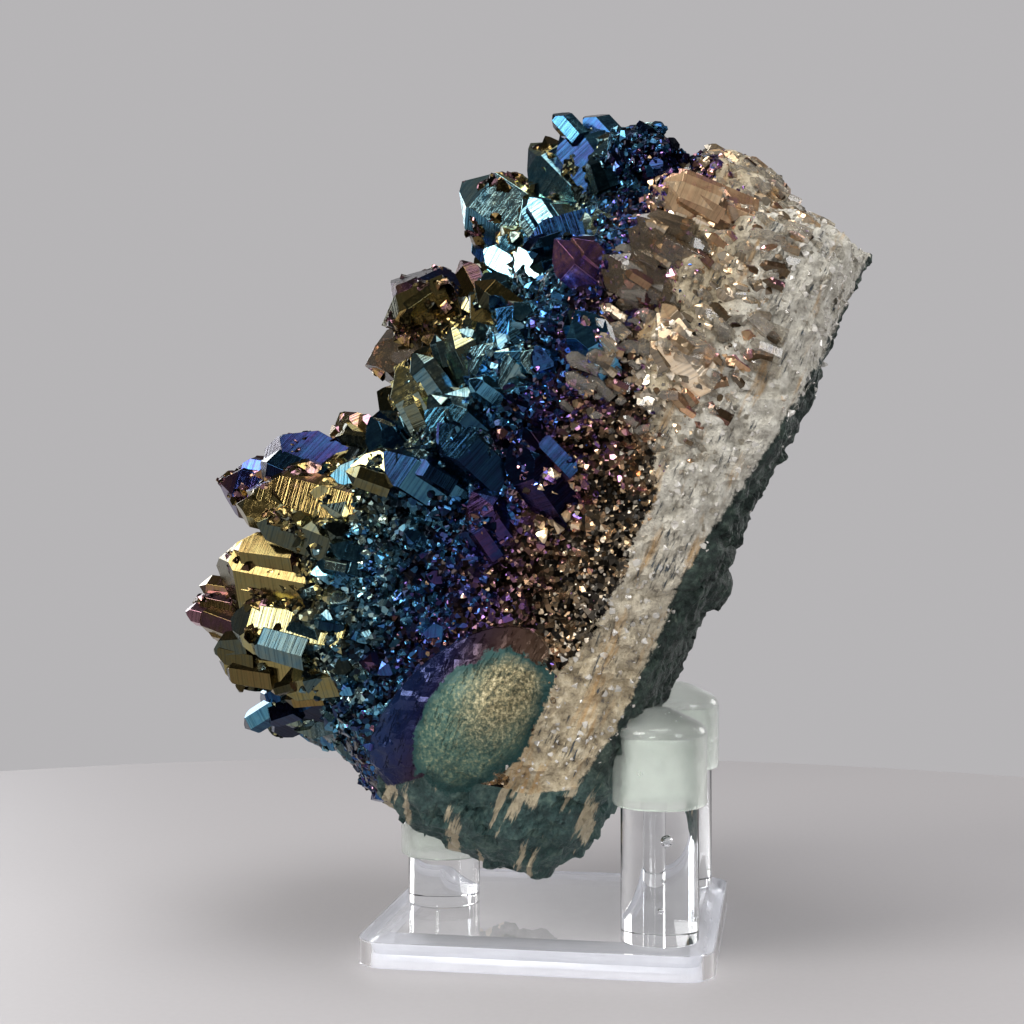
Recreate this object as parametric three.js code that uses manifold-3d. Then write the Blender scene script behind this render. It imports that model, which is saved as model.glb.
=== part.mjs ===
// An aura quartz cluster on a clear three-peg stand.
//
// The specimen is one piece of stone: a slab broken from a geode wall, with a green basalt back,
// a pale chalcedony band and a front of quartz points that grew together. It leans on two tall
// pegs behind it and lies over one short peg in front, each with a soft domed cap.
//
// Millimetres, +Z up. The origin is the centre of the base plate's underside. The crystals face
// -X, the basalt back faces +X, and the broken side that shows the layers faces -Y.

import * as THREE from "three";
import { mergeVertices } from "three/addons/utils/BufferGeometryUtils.js";
import Module from "manifold-3d";

const wasm = await Module();
wasm.setup();

// Stand
const PLATE_SIDE = 58;
const PLATE_THICK = 5.2;
const PLATE_CORNER = 5;
const PLATE_EDGE = 1.1;
const PEG_RADIUS = 6.35;
const PEG_SIDES = 24;
const PEGS = [
  { name: "front_peg", x: -20, y: 0, top: 24.8 },
  { name: "back_peg_right", x: 20, y: -20.5, top: 38.1 },
  { name: "back_peg_left", x: 20, y: 20.5, top: 38.1 },
];
const CAP_RADIUS = 7.65;
const CAP_SKIRT = 11.2; // how far the cap reaches down over the peg
const CAP_DOME = 4.6; // height of the dome above the peg's end
const CAP_LIP = 0.6; // bevel around the foot of the skirt
const DOME_STEPS = 4;
const FIT_GAP = 0.05; // between a peg and what it stands on or in
const STONE_GAP = 0.3; // between the stone and the caps that hold it

// Stone body: outlines in X and Z at five stations across its width, counterclockwise from the top
// right corner when looked at along +Y. Crystals are not included.
const HEART = { x: 2, z: 76 }; // every outline is seen whole from here
const STATIONS = [
  {
    y: -26,
    outline: [
      [49, 112], [40, 120], [26, 123], [14, 120], [2, 111], [-7, 98], [-14, 89], [-26, 82],
      [-37, 73], [-41, 60], [-38, 52], [-32, 42], [-24, 30], [-14, 22], [-4, 18], [5, 19],
      [12, 30], [21, 47], [33, 72], [42, 92],
    ],
  },
  {
    y: -10,
    outline: [
      [52, 117], [42, 126], [28, 133], [14, 130], [2, 121], [-12, 106], [-22, 94], [-36, 86],
      [-46, 79], [-51, 64], [-49, 50], [-42, 38], [-30, 26], [-20, 17], [-9, 12], [3, 12],
      [11, 22], [20, 43], [33, 71], [43, 91],
    ],
  },
  {
    y: 4,
    outline: [
      [54, 118], [42, 128], [28, 137], [12, 139], [-2, 127], [-14, 115], [-24, 104], [-30, 93],
      [-45, 85], [-53, 74], [-56, 60], [-52, 48], [-41, 31], [-24, 17], [-10, 10], [4, 11],
      [11, 23], [20, 43], [33, 71], [44, 93],
    ],
  },
  {
    y: 16,
    outline: [
      [51, 118], [40, 127], [24, 137], [10, 142], [-4, 134], [-13, 122], [-24, 110], [-29, 98],
      [-40, 89], [-51, 82], [-56, 66], [-54, 50], [-44, 33], [-27, 18], [-10, 12], [2, 16],
      [10, 30], [20, 48], [32, 72], [43, 92],
    ],
  },
  {
    y: 28,
    outline: [
      [42, 109], [32, 122], [18, 131], [6, 137], [-8, 126], [-16, 112], [-26, 102], [-32, 92],
      [-44, 84], [-48, 68], [-46, 52], [-36, 32], [-22, 27], [-6, 28], [4, 40], [13, 54],
      [24, 71], [34, 90],
    ],
  },
];
const NEAR_BULGE = 5; // how far the broken near side stands out past the first station
const FAR_BULGE = 6;
const BODY_SIDES = 46;
const CORNER_TURN = 0.97; // share of a side that puts one edge along the top back corner
const RINGS_BETWEEN = 2; // rings from one station to the next
const BULGE_RINGS = [0.93, 0.74, 0.42]; // ring sizes across each rounded side
const ROUGHNESS = 1.7; // relief of the broken rock
const COARSE_CELL = 11; // size of the rock's lumps
const FINE_CELL = 4.5; // size of the breaks on them
const FINE_SHARE = 0.6;

// Quartz: the faces of a point lean this far from its long axis
const TIP_NORMAL = (51.8 * Math.PI) / 180;
// How far each face cuts in past a sharp tip, as a share of the radius: small faces, then large ones
const SMALL_BITE = [0.04, 0.16];
const LARGE_BITE = [0.12, 0.46];
const PRISM_FLARE = 1.04; // the root is this much wider than the shoulder
const ROOT_DEPTH = 2.2; // how deep a point is rooted in the body, in radii
const GROWTH_HEART = new THREE.Vector3(34, 4, 66); // the points radiate from about here

// Fields of points. Each is spread evenly over a stretch of the front, given as the turn about HEART
// in degrees (180 is straight out along -X) and the station, then varied by chance.
const FIELDS = [
  {
    seed: 11,
    count: 32,
    turn: [86, 228],
    y: [-15, 29],
    radius: [4.8, 7.2],
    rise: [5, 8],
    tilt: 0.22,
  },
  {
    seed: 25,
    count: 24,
    turn: [84, 218],
    y: [-27, -16],
    radius: [3.6, 5.8],
    rise: [3.5, 6.5],
    tilt: 0.26,
  },
];
// Broken prisms that lie along the far side, as the width and height they spread over
const FAR_FIELD = {
  seed: 61,
  count: 10,
  x: [-34, 24],
  z: [52, 118],
  radius: [4.4, 6.4],
  length: [16, 22],
  lift: 0.14,
  tilt: 0.14,
};
const SEED_STEP = 1.37; // from one point of a field to the next

// The large points that the eye finds first: the tip, a place inside that the point grew from, and
// the radius of its prism
const LARGE_POINTS = [
  { name: "gold_blade", tip: [-53, -20, 79], from: [-29, -22, 73], radius: 6.4 },
  { name: "violet_tip", tip: [-62, -5, 80], from: [-45, -6, 76], radius: 5.2 },
  { name: "dark_crown", tip: [-54, -9, 88], from: [-26, -16, 73], radius: 8.0 },
  { name: "gold_step", tip: [-38, -8, 93], from: [-30, -10, 84], radius: 3.6 },
  { name: "blue_face", tip: [-29, -19, 94], from: [-20, -14, 81], radius: 5.8 },
  { name: "striped_step", tip: [-50, -25, 75], from: [-31, -25, 68], radius: 4.2 },
  { name: "gold_shoulder", tip: [-60, -15, 66], from: [-33, -21, 62], radius: 7.6 },
  { name: "rose_tip", tip: [-67, -7, 58], from: [-42, -14, 54], radius: 6.4 },
  { name: "striped_ridge", tip: [-54, -22, 56], from: [-30, -25, 53], radius: 4.8 },
  { name: "lower_gold", tip: [-59, -13, 49], from: [-38, -20, 48], radius: 5.0 },
  { name: "slate_tip", tip: [-53, -9, 37], from: [-36, -16, 45], radius: 5.4 },
  { name: "low_yellow", tip: [-46, -22, 45], from: [-32, -24, 47], radius: 3.6 },
  { name: "pale_stripes", tip: [-24, -20, 101], from: [-16, -18, 86], radius: 5.0 },
  { name: "pale_blade", tip: [-15, -21, 106], from: [-10, -18, 95], radius: 3.6 },
  { name: "round_blue", tip: [-8, -33, 101], from: [1, -18, 92], radius: 6.6 },
  { name: "navy_face", tip: [-8, -27, 109], from: [1, -16, 101], radius: 5.0 },
  { name: "olive_face", tip: [-15, -14, 113], from: [-4, -12, 103], radius: 5.4 },
  { name: "dark_ridge", tip: [-6, -15, 117], from: [8, -12, 121], radius: 4.8 },
  { name: "pale_tooth", tip: [10, -19, 126], from: [12, -16, 116], radius: 3.8 },
  { name: "blue_blade", tip: [8, -34, 107], from: [13, -24, 93], radius: 3.8 },
  { name: "near_slate", tip: [-26, -30, 85], from: [-10, -23, 74], radius: 5.2 },
  { name: "near_navy", tip: [-16, -32, 90], from: [-3, -24, 77], radius: 4.8 },
  { name: "near_brown", tip: [-10, -33, 79], from: [-2, -25, 66], radius: 3.8 },
  { name: "near_violet", tip: [-3, -34, 87], from: [6, -26, 73], radius: 4.2 },
  { name: "near_smoky", tip: [14, -30, 119], from: [29, -24, 112], radius: 4.0 },
  { name: "near_umber", tip: [17, -27, 127], from: [34, -21, 120], radius: 4.4 },
  { name: "near_tan", tip: [19, -33, 106], from: [28, -27, 94], radius: 3.4 },
  { name: "near_clear", tip: [10, -32, 115], from: [24, -25, 106], radius: 4.0 },
  { name: "near_rose", tip: [2, -28, 119], from: [16, -23, 108], radius: 4.6 },
  { name: "near_glint", tip: [-37, -28, 68], from: [-19, -23, 63], radius: 4.4 },
  { name: "near_low", tip: [-38, -27, 59], from: [-22, -22, 58], radius: 4.0 },
  { name: "cyan_crown", tip: [-22, 16, 137], from: [-1, 10, 122], radius: 7.8 },
  { name: "cyan_front", tip: [-15, 8, 127], from: [1, 2, 117], radius: 6.5 },
  { name: "cyan_low", tip: [-18, 10, 120], from: [-2, 4, 112], radius: 5.6 },
  { name: "cyan_mid", tip: [-7, 4, 133], from: [3, 0, 119], radius: 5.0 },
  { name: "top_slate", tip: [-8, 12, 143], from: [7, 8, 127], radius: 6.0 },
  { name: "top_navy", tip: [-1, 10, 147], from: [9, 6, 132], radius: 6.0 },
  { name: "top_violet", tip: [8, 2, 143], from: [12, 0, 130], radius: 5.4 },
  { name: "far_plum", tip: [-37, 22, 121], from: [-17, 16, 108], radius: 6.8 },
  { name: "far_gold", tip: [-36, 12, 108], from: [-21, 12, 114], radius: 4.6 },
  { name: "grey_knob", tip: [-41, 18, 101], from: [-24, 14, 105], radius: 6.0 },
  { name: "far_olive", tip: [-20, 8, 114], from: [-9, 6, 105], radius: 4.4 },
  { name: "far_shelf", tip: [-62, 16, 76], from: [-38, 14, 72], radius: 7.0 },
  { name: "far_low", tip: [-64, 14, 52], from: [-40, 12, 56], radius: 6.8 },
  { name: "far_foot", tip: [-52, 20, 36], from: [-34, 14, 46], radius: 6.0 },
  { name: "far_flank", tip: [-60, 31, 64], from: [-36, 22, 66], radius: 6.4 },
  { name: "far_block", tip: [-50, 33, 86], from: [-28, 22, 80], radius: 6.6 },
  { name: "far_crest", tip: [-10, 32, 134], from: [2, 18, 120], radius: 6.4 },
  { name: "far_peak", tip: [6, 28, 143], from: [12, 18, 128], radius: 5.6 },
];

// Rounded or blocky growths: centre, half sizes, and turn about X, Y and Z in degrees
const LUMPS = [
  { name: "agate_rim", at: [-11.5, -26.5, 44], half: [13.5, 5.4, 18], turn: [0, 36, 0], detail: 2 },
  { name: "green_nodule", at: [-8.5, -28, 42], half: [10, 6.2, 14], turn: [0, 36, 0], detail: 2 },
  { name: "green_foot", at: [-15, -19, 26], half: [7, 6, 6], turn: [0, 20, 10], detail: 1 },
  { name: "cream_vein", at: [8, -26, 38], half: [4, 4, 20], turn: [0, 28, 0], detail: 1 },
  { name: "keel", at: [0, -16, 20.5], half: [6, 11, 8], turn: [0, 18, 0], detail: 1 },
  { name: "white_peak", at: [16, -4, 136], half: [7, 10, 6], turn: [20, 24, 30], detail: 1 },
  { name: "white_shoulder", at: [31, -8, 128], half: [9, 12, 6], turn: [0, 34, 20], detail: 1 },
  { name: "corner_block", at: [45, -6, 116], half: [6, 12, 7], turn: [0, 30, 12], detail: 1 },
  { name: "back_bump", at: [27.5, -10, 62], half: [4, 7, 5], turn: [0, 20, 0], detail: 1 },
  { name: "back_ledge", at: [34, 6, 86], half: [5.5, 16, 9], turn: [0, 25, 6], detail: 1 },
  { name: "back_ridge", at: [17.5, 10, 50], half: [6, 14, 12], turn: [0, 25, -5], detail: 1 },
];

// One number from 0 to 1 for a whole number and a seed, the same every time.
function chance(index, seed) {
  const value = Math.sin(index * 127.1 + seed * 311.7) * 43758.5453;
  return value - Math.floor(value);
}

function between([low, high], share) {
  return low + (high - low) * share;
}

function radians(degrees) {
  return (degrees * Math.PI) / 180;
}

// Points that spread evenly over a unit square, from steps that never fall into line.
function evenSpread(index) {
  return [(index * 0.7548776662) % 1, (index * 0.569840291) % 1];
}

// Smooth noise from -1 to 1 over space, with one cell per unit.
function noise(x, y, z) {
  const [fx, fy, fz] = [Math.floor(x), Math.floor(y), Math.floor(z)];
  const ease = (t) => t * t * (3 - 2 * t);
  const [tx, ty, tz] = [ease(x - fx), ease(y - fy), ease(z - fz)];
  let sum = 0;
  for (let corner = 0; corner < 8; corner++) {
    const [i, j, k] = [corner & 1, (corner >> 1) & 1, corner >> 2];
    const weight = (i ? tx : 1 - tx) * (j ? ty : 1 - ty) * (k ? tz : 1 - tz);
    sum += weight * chance(fx + i + 57 * (fy + j) + 131 * (fz + k), 7);
  }
  return 2 * sum - 1;
}

// A closed three.js geometry as a solid that can be joined and cut.
function solidOf(geometry) {
  const bare = new THREE.BufferGeometry();
  bare.setAttribute("position", geometry.getAttribute("position"));
  if (geometry.index) bare.setIndex(geometry.index);
  const merged = mergeVertices(bare, 1e-4);
  return new wasm.Manifold(
    new wasm.Mesh({
      numProp: 3,
      vertProperties: new Float32Array(merged.attributes.position.array),
      triVerts: new Uint32Array(merged.index.array),
    }),
  );
}

function geometryOf(solid) {
  const mesh = solid.getMesh();
  const geometry = new THREE.BufferGeometry();
  geometry.setAttribute("position", new THREE.BufferAttribute(mesh.vertProperties, mesh.numProp));
  geometry.setIndex(new THREE.BufferAttribute(mesh.triVerts, 1));
  geometry.computeVertexNormals();
  return geometry;
}

// Distance from the heart of an outline to its edge, in the direction of an angle.
function reach(outline, angle) {
  const [dx, dz] = [Math.cos(angle), Math.sin(angle)];
  for (let i = 0; i < outline.length; i++) {
    const [ax, az] = [outline[i][0] - HEART.x, outline[i][1] - HEART.z];
    const next = outline[(i + 1) % outline.length];
    const [ex, ez] = [next[0] - HEART.x - ax, next[1] - HEART.z - az];
    const cross = dx * ez - dz * ex;
    if (Math.abs(cross) < 1e-9) continue;
    const along = (ax * ez - az * ex) / cross;
    const share = (ax * dz - az * dx) / cross;
    if (along > 0 && share >= 0 && share < 1) return along;
  }
  throw new Error("an outline doesn't surround its heart");
}

// The same distance at any station in between.
function bodyReach(angle, y) {
  const last = STATIONS.length - 1;
  let k = 0;
  while (k < last - 1 && y > STATIONS[k + 1].y) k++;
  const [low, high] = [STATIONS[k], STATIONS[k + 1]];
  const share = Math.min(1, Math.max(0, (y - low.y) / (high.y - low.y)));
  return between([reach(low.outline, angle), reach(high.outline, angle)], share);
}

function bodyPoint(angle, y, size = 1) {
  const r = bodyReach(angle, y) * size;
  return new THREE.Vector3(HEART.x + r * Math.cos(angle), y, HEART.z + r * Math.sin(angle));
}

// The depth of the rounded near (sign -1) or far (sign 1) side at a share of its outline's size.
function sideDepth(size, sign) {
  const rise = Math.sqrt(Math.max(0, 1 - size ** 3));
  return sign < 0 ? STATIONS[0].y - NEAR_BULGE * rise : STATIONS.at(-1).y + FAR_BULGE * rise;
}

// Rough rock: lumps of about a centimetre with finer breaks on them.
function roughened(point, size = 1) {
  const { x, y, z } = point;
  const coarse = noise(x / COARSE_CELL, y / COARSE_CELL, z / COARSE_CELL);
  const fine = noise(x / FINE_CELL, y / FINE_CELL, z / FINE_CELL);
  const away = new THREE.Vector3(x - HEART.x, (y - 4) * 1.6, z - HEART.z).normalize();
  return point.addScaledVector(away, ROUGHNESS * size * (coarse + FINE_SHARE * fine));
}

function stoneBody() {
  const rings = [];
  for (const size of [...BULGE_RINGS].reverse()) rings.push([sideDepth(size, -1), size]);
  for (let k = 0; k < STATIONS.length - 1; k++) {
    for (let step = 0; step < RINGS_BETWEEN; step++) {
      rings.push([between([STATIONS[k].y, STATIONS[k + 1].y], step / RINGS_BETWEEN), 1]);
    }
  }
  rings.push([STATIONS.at(-1).y, 1]);
  for (const size of BULGE_RINGS) rings.push([sideDepth(size, 1), size]);

  const places = [];
  for (const [y, size] of rings) {
    for (let i = 0; i < BODY_SIDES; i++) {
      const angle = (2 * Math.PI * (i + CORNER_TURN)) / BODY_SIDES;
      places.push(...roughened(bodyPoint(angle, y, size), size).toArray());
    }
  }
  const nearPole = places.length / 3;
  places.push(HEART.x, sideDepth(0, -1), HEART.z, HEART.x, sideDepth(0, 1), HEART.z);

  const faces = [];
  for (let i = 0; i < BODY_SIDES; i++) {
    const j = (i + 1) % BODY_SIDES;
    for (let ring = 0; ring < rings.length - 1; ring++) {
      const [a, b] = [ring * BODY_SIDES, (ring + 1) * BODY_SIDES];
      faces.push(a + i, b + i, b + j, a + i, b + j, a + j);
    }
    const lastRing = (rings.length - 1) * BODY_SIDES;
    faces.push(nearPole, i, j, nearPole + 1, lastRing + j, lastRing + i);
  }
  const geometry = new THREE.BufferGeometry();
  geometry.setAttribute("position", new THREE.Float32BufferAttribute(places, 3));
  geometry.setIndex(faces);
  return solidOf(geometry);
}

// A quartz point: a six-sided prism with six leaning faces at its tip, every other one larger.
// It stands on the origin along +Z.
function quartzPoint(radius, length, seed) {
  const prism = new THREE.CylinderGeometry(radius, radius * PRISM_FLARE, length, 6, 1);
  prism.rotateX(Math.PI / 2);
  prism.translate(0, 0, length / 2);
  let solid = solidOf(prism);
  for (let face = 0; face < 6; face++) {
    const turn = (Math.PI / 3) * (face + 0.5) + Math.PI / 2;
    const normal = new THREE.Vector3(
      Math.cos(turn) * Math.sin(TIP_NORMAL),
      Math.sin(turn) * Math.sin(TIP_NORMAL),
      Math.cos(TIP_NORMAL),
    );
    const bite = between(face % 2 ? SMALL_BITE : LARGE_BITE, chance(face, seed));
    const offset = length * normal.z - radius * bite;
    solid = solid.trimByPlane(normal.negate().toArray(), -offset);
  }
  return solid;
}

// A quartz point with its tip at a place. The axis leads from its root to its tip.
function pointFrom(tip, axis, radius, length, seed) {
  const up = new THREE.Vector3(0, 0, 1);
  const lean = new THREE.Quaternion().setFromUnitVectors(up, axis);
  const spin = new THREE.Quaternion().setFromAxisAngle(up, 2 * Math.PI * chance(5, seed));
  const start = tip.clone().addScaledVector(axis, -length);
  const matrix = new THREE.Matrix4();
  matrix.compose(start, lean.multiply(spin), new THREE.Vector3(1, 1, 1));
  return quartzPoint(radius, length, seed).transform(matrix.elements);
}

// A direction turned a little by chance, by up to about tilt radians.
function swayed(direction, tilt, seed) {
  const [x, y, z] = [chance(1, seed), chance(2, seed), chance(3, seed)];
  const sway = new THREE.Vector3(x - 0.5, y - 0.5, z - 0.5);
  return direction.clone().normalize().addScaledVector(sway, 2 * tilt).normalize();
}

function frontPoints(field) {
  const made = [];
  for (let i = 1; i <= field.count; i++) {
    const [u, v] = evenSpread(i + field.seed);
    const seed = field.seed + i * SEED_STEP;
    const foot = bodyPoint(radians(between(field.turn, u)), between(field.y, v));
    const size = chance(4, seed);
    const radius = between(field.radius, size);
    const rise = between(field.rise, 0.6 * size + 0.4 * chance(6, seed));
    const axis = swayed(foot.clone().sub(GROWTH_HEART), field.tilt, seed);
    const tip = foot.clone().addScaledVector(axis, rise);
    made.push(pointFrom(tip, axis, radius, rise + ROOT_DEPTH * radius, seed));
  }
  return made;
}

function farPoints(field) {
  const made = [];
  for (let i = 1; i <= field.count; i++) {
    const [u, v] = evenSpread(i + field.seed);
    const seed = field.seed + i * SEED_STEP;
    const [x, z] = [between(field.x, u), between(field.z, v)];
    const angle = Math.atan2(z - HEART.z, x - HEART.x);
    const size = Math.hypot(x - HEART.x, z - HEART.z) / bodyReach(angle, STATIONS.at(-1).y);
    if (size > 0.97) continue;
    const radius = between(field.radius, chance(4, seed));
    const middle = new THREE.Vector3(x, sideDepth(size, 1) - 0.6 * radius, z);
    const outward = middle.clone().sub(GROWTH_HEART).setY(0).normalize().setY(field.lift);
    const axis = swayed(outward, field.tilt, seed);
    const length = between(field.length, chance(6, seed));
    const tip = middle.addScaledVector(axis, 0.5 * length);
    made.push(pointFrom(tip, axis, radius, length, seed));
  }
  return made;
}

function largePoints() {
  return LARGE_POINTS.map(({ tip, from, radius }, i) => {
    const end = new THREE.Vector3(...tip);
    const axis = end.clone().sub(new THREE.Vector3(...from));
    const length = axis.length();
    return pointFrom(end, axis.normalize(), radius, length, 90 + i);
  });
}

function lump({ at, half, turn, detail }) {
  const geometry = new THREE.IcosahedronGeometry(1, detail);
  geometry.scale(...half);
  const [x, y, z] = turn.map(radians);
  geometry.applyMatrix4(new THREE.Matrix4().makeRotationFromEuler(new THREE.Euler(x, y, z)));
  geometry.translate(...at);
  const place = geometry.getAttribute("position");
  for (let i = 0; i < place.count && detail < 2; i++) {
    place.setXYZ(i, ...roughened(new THREE.Vector3().fromBufferAttribute(place, i)).toArray());
  }
  return solidOf(geometry);
}

// The space that a peg and its cap take, with the gap that the stone keeps to them.
function pegRoom(peg) {
  const grown = CAP_RADIUS + STONE_GAP;
  const top = peg.top + CAP_DOME + STONE_GAP;
  const wall = [[0, 0], [grown, 0], [grown, peg.top]];
  const geometry = lathed([...wall, ...domeProfile(grown, peg.top, top)]);
  geometry.translate(peg.x, peg.y, 0);
  return solidOf(geometry);
}

// A rounded end from the side wall up to the axis: the last point is on the axis.
function domeProfile(radius, shoulder, top) {
  const points = [];
  for (let step = 1; step < DOME_STEPS; step++) {
    const angle = (step / DOME_STEPS) * (Math.PI / 2);
    points.push([radius * Math.cos(angle), shoulder + (top - shoulder) * Math.sin(angle)]);
  }
  points.push([0, top]);
  return points;
}

// A profile of radii and heights turned about +Z.
function lathed(profile) {
  const points = profile.map(([r, z]) => new THREE.Vector2(r, z));
  const geometry = new THREE.LatheGeometry(points, PEG_SIDES);
  geometry.rotateX(Math.PI / 2);
  return geometry;
}

function clusterGeometry() {
  const parts = [stoneBody(), ...LUMPS.map(lump), ...largePoints()];
  for (const field of FIELDS) parts.push(...frontPoints(field));
  parts.push(...farPoints(FAR_FIELD));
  let stone = wasm.Manifold.union(parts);
  for (const peg of PEGS) stone = stone.subtract(pegRoom(peg));
  const pieces = stone.decompose().sort((a, b) => b.volume() - a.volume());
  return geometryOf(pieces[0]);
}

function plateGeometry() {
  const half = PLATE_SIDE / 2 - PLATE_EDGE;
  const r = PLATE_CORNER - PLATE_EDGE;
  const shape = new THREE.Shape();
  shape.absarc(half - r, half - r, r, 0, Math.PI / 2);
  shape.absarc(r - half, half - r, r, Math.PI / 2, Math.PI);
  shape.absarc(r - half, r - half, r, Math.PI, 1.5 * Math.PI);
  shape.absarc(half - r, r - half, r, 1.5 * Math.PI, 2 * Math.PI);
  const geometry = new THREE.ExtrudeGeometry(shape, {
    depth: PLATE_THICK - 2 * PLATE_EDGE,
    bevelThickness: PLATE_EDGE,
    bevelSize: PLATE_EDGE,
    bevelSegments: 2,
    curveSegments: 4,
  });
  geometry.translate(0, 0, PLATE_EDGE);
  return geometry;
}

function pegGeometry(peg) {
  const bottom = PLATE_THICK + FIT_GAP;
  const geometry = new THREE.CylinderGeometry(PEG_RADIUS, PEG_RADIUS, peg.top - bottom, PEG_SIDES);
  geometry.rotateX(Math.PI / 2);
  geometry.translate(0, 0, (peg.top + bottom) / 2);
  return geometry;
}

function capGeometry(peg) {
  const bore = PEG_RADIUS + FIT_GAP;
  const inside = peg.top + FIT_GAP;
  const skirt = peg.top - CAP_SKIRT;
  const socket = [[0, inside], [bore, inside], [bore, skirt]];
  const wall = [[CAP_RADIUS - CAP_LIP, skirt], [CAP_RADIUS, skirt + CAP_LIP], [CAP_RADIUS, peg.top]];
  return lathed([...socket, ...wall, ...domeProfile(CAP_RADIUS, peg.top, peg.top + CAP_DOME)]);
}

const quartz = new THREE.MeshStandardMaterial({ color: 0x35506e, roughness: 0.25, metalness: 0.7 });
const acrylic = new THREE.MeshStandardMaterial({
  color: 0xe8ecf2,
  roughness: 0.05,
  metalness: 0,
  transparent: true,
  opacity: 0.35,
});
const silicone = new THREE.MeshStandardMaterial({
  color: 0xd5dccf,
  roughness: 0.35,
  metalness: 0,
  transparent: true,
  opacity: 0.7,
});

function named(name, geometry, material, x = 0, y = 0) {
  const mesh = new THREE.Mesh(geometry, material);
  mesh.name = name;
  mesh.position.set(x, y, 0);
  return mesh;
}

const stand = new THREE.Group();
stand.add(named("stand_base", plateGeometry(), acrylic));
for (const peg of PEGS) {
  stand.add(named(peg.name, pegGeometry(peg), acrylic, peg.x, peg.y));
  stand.add(named(`${peg.name}_cap`, capGeometry(peg), silicone, peg.x, peg.y));
}

const object = new THREE.Group();
object.add(named("quartz_cluster", clusterGeometry(), quartz));
object.add(stand);

export default object;
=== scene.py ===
# Looks for an aura quartz cluster on a clear three-peg stand.
# Blender works in metres, +Z up. Sizes in the dictionaries are in millimetres.

import math

import bpy
import numpy as np
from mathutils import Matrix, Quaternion, Vector, kdtree


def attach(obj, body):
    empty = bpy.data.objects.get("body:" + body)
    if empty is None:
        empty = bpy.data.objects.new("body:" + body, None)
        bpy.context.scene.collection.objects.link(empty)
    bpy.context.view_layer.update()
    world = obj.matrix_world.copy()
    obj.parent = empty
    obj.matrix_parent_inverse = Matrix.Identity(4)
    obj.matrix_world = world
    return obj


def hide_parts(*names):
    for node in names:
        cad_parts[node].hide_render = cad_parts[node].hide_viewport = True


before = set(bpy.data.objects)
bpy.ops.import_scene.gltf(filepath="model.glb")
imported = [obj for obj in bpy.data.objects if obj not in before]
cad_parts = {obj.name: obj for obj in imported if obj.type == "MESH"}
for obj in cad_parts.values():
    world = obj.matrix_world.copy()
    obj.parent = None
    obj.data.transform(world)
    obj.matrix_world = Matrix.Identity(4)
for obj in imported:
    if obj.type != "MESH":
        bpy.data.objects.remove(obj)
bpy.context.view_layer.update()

mm = 0.001

# Camera: level, a little to the right of the broken side
camera = {"place": (41.45, -288.88, 74.23), "turn": 9.6685, "lens": 58.229}

bpy.ops.object.camera_add(
    location=[c * mm for c in camera["place"]],
    rotation=(math.radians(90), 0, math.radians(camera["turn"])),
)
bpy.context.object.data.lens = camera["lens"]
bpy.context.object.data.clip_start = 0.01
bpy.context.scene.camera = bpy.context.object
print("camera in place")


# Small helpers


def deselectAll():
    if bpy.context.mode != "OBJECT":
        bpy.ops.object.mode_set(mode="OBJECT")
    bpy.ops.object.select_all(action="DESELECT")


def makeActive(obj):
    deselectAll()
    obj.select_set(True)
    bpy.context.view_layer.objects.active = obj


def finishPiece(obj, name, material, replaced=()):
    # Place into the mesh, one material, and a ride on the only body
    makeActive(obj)
    bpy.ops.object.transform_apply(location=True, rotation=True, scale=True)
    obj.name = name
    obj.data.name = name
    obj.data.materials.clear()
    obj.data.materials.append(material)
    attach(obj, "root")
    if replaced:
        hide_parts(*replaced)
    return obj


def applyModifier(piece, kind, **settings):
    makeActive(piece)
    modifier = piece.modifiers.new(kind.lower(), kind)
    for key, value in settings.items():
        setattr(modifier, key, value)
    bpy.ops.object.modifier_apply(modifier=modifier.name)


def chance(index, seed):
    # One number from 0 to 1 for an index and a seed, the same every time
    value = math.sin(index * 127.1 + seed * 311.7) * 43758.5453
    return value - math.floor(value)


def between(pair, share):
    return pair[0] + (pair[1] - pair[0]) * share


spreadSteps = (0.7548776662, 0.569840291)  # steps that fill a square evenly


def evenSpread(index):
    return [(index * step) % 1 for step in spreadSteps]


# Shader helpers


def newMaterial(name):
    material = bpy.data.materials.new(name)
    material.use_nodes = True
    tree = material.node_tree
    return material, tree, tree.nodes["Principled BSDF"]


def plug(tree, sockets, inputs):
    # Links each source to its socket, or sets a plain value on it
    for key, value in inputs.items():
        if isinstance(value, bpy.types.NodeSocket):
            tree.links.new(value, sockets[key])
        else:
            sockets[key].default_value = value


def addNode(tree, kind, inputs=None, **settings):
    node = tree.nodes.new(kind)
    for key, value in settings.items():
        setattr(node, key, value)
    plug(tree, node.inputs, inputs or {})
    return node


def rampNode(tree, fac, stops):
    node = addNode(tree, "ShaderNodeValToRGB", {"Fac": fac})
    ramp = node.color_ramp
    ramp.elements[0].position, ramp.elements[1].position = stops[0][0], stops[-1][0]
    ramp.elements[0].color, ramp.elements[1].color = shade(stops[0][1]), shade(stops[-1][1])
    for place, colour in stops[1:-1]:
        ramp.elements.new(place).color = shade(colour)
    return node.outputs["Color"]


def shade(colour):
    # A number gives a grey, and a socket stays as it is
    if isinstance(colour, bpy.types.NodeSocket):
        return colour
    if isinstance(colour, (int, float)):
        colour = (colour, colour, colour)
    return (*colour, 1)


def mathNode(tree, operation, first, second=0.0, third=0.0, clamp=False):
    inputs = {0: first, 1: second, 2: third}
    return addNode(tree, "ShaderNodeMath", inputs, operation=operation, use_clamp=clamp).outputs[0]


def above(tree, value, edge, soft):
    # 0 below the edge and 1 above it, with a short slope between
    return mathNode(tree, "MULTIPLY_ADD", value, 1 / soft, 0.5 - edge / soft, clamp=True)


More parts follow.
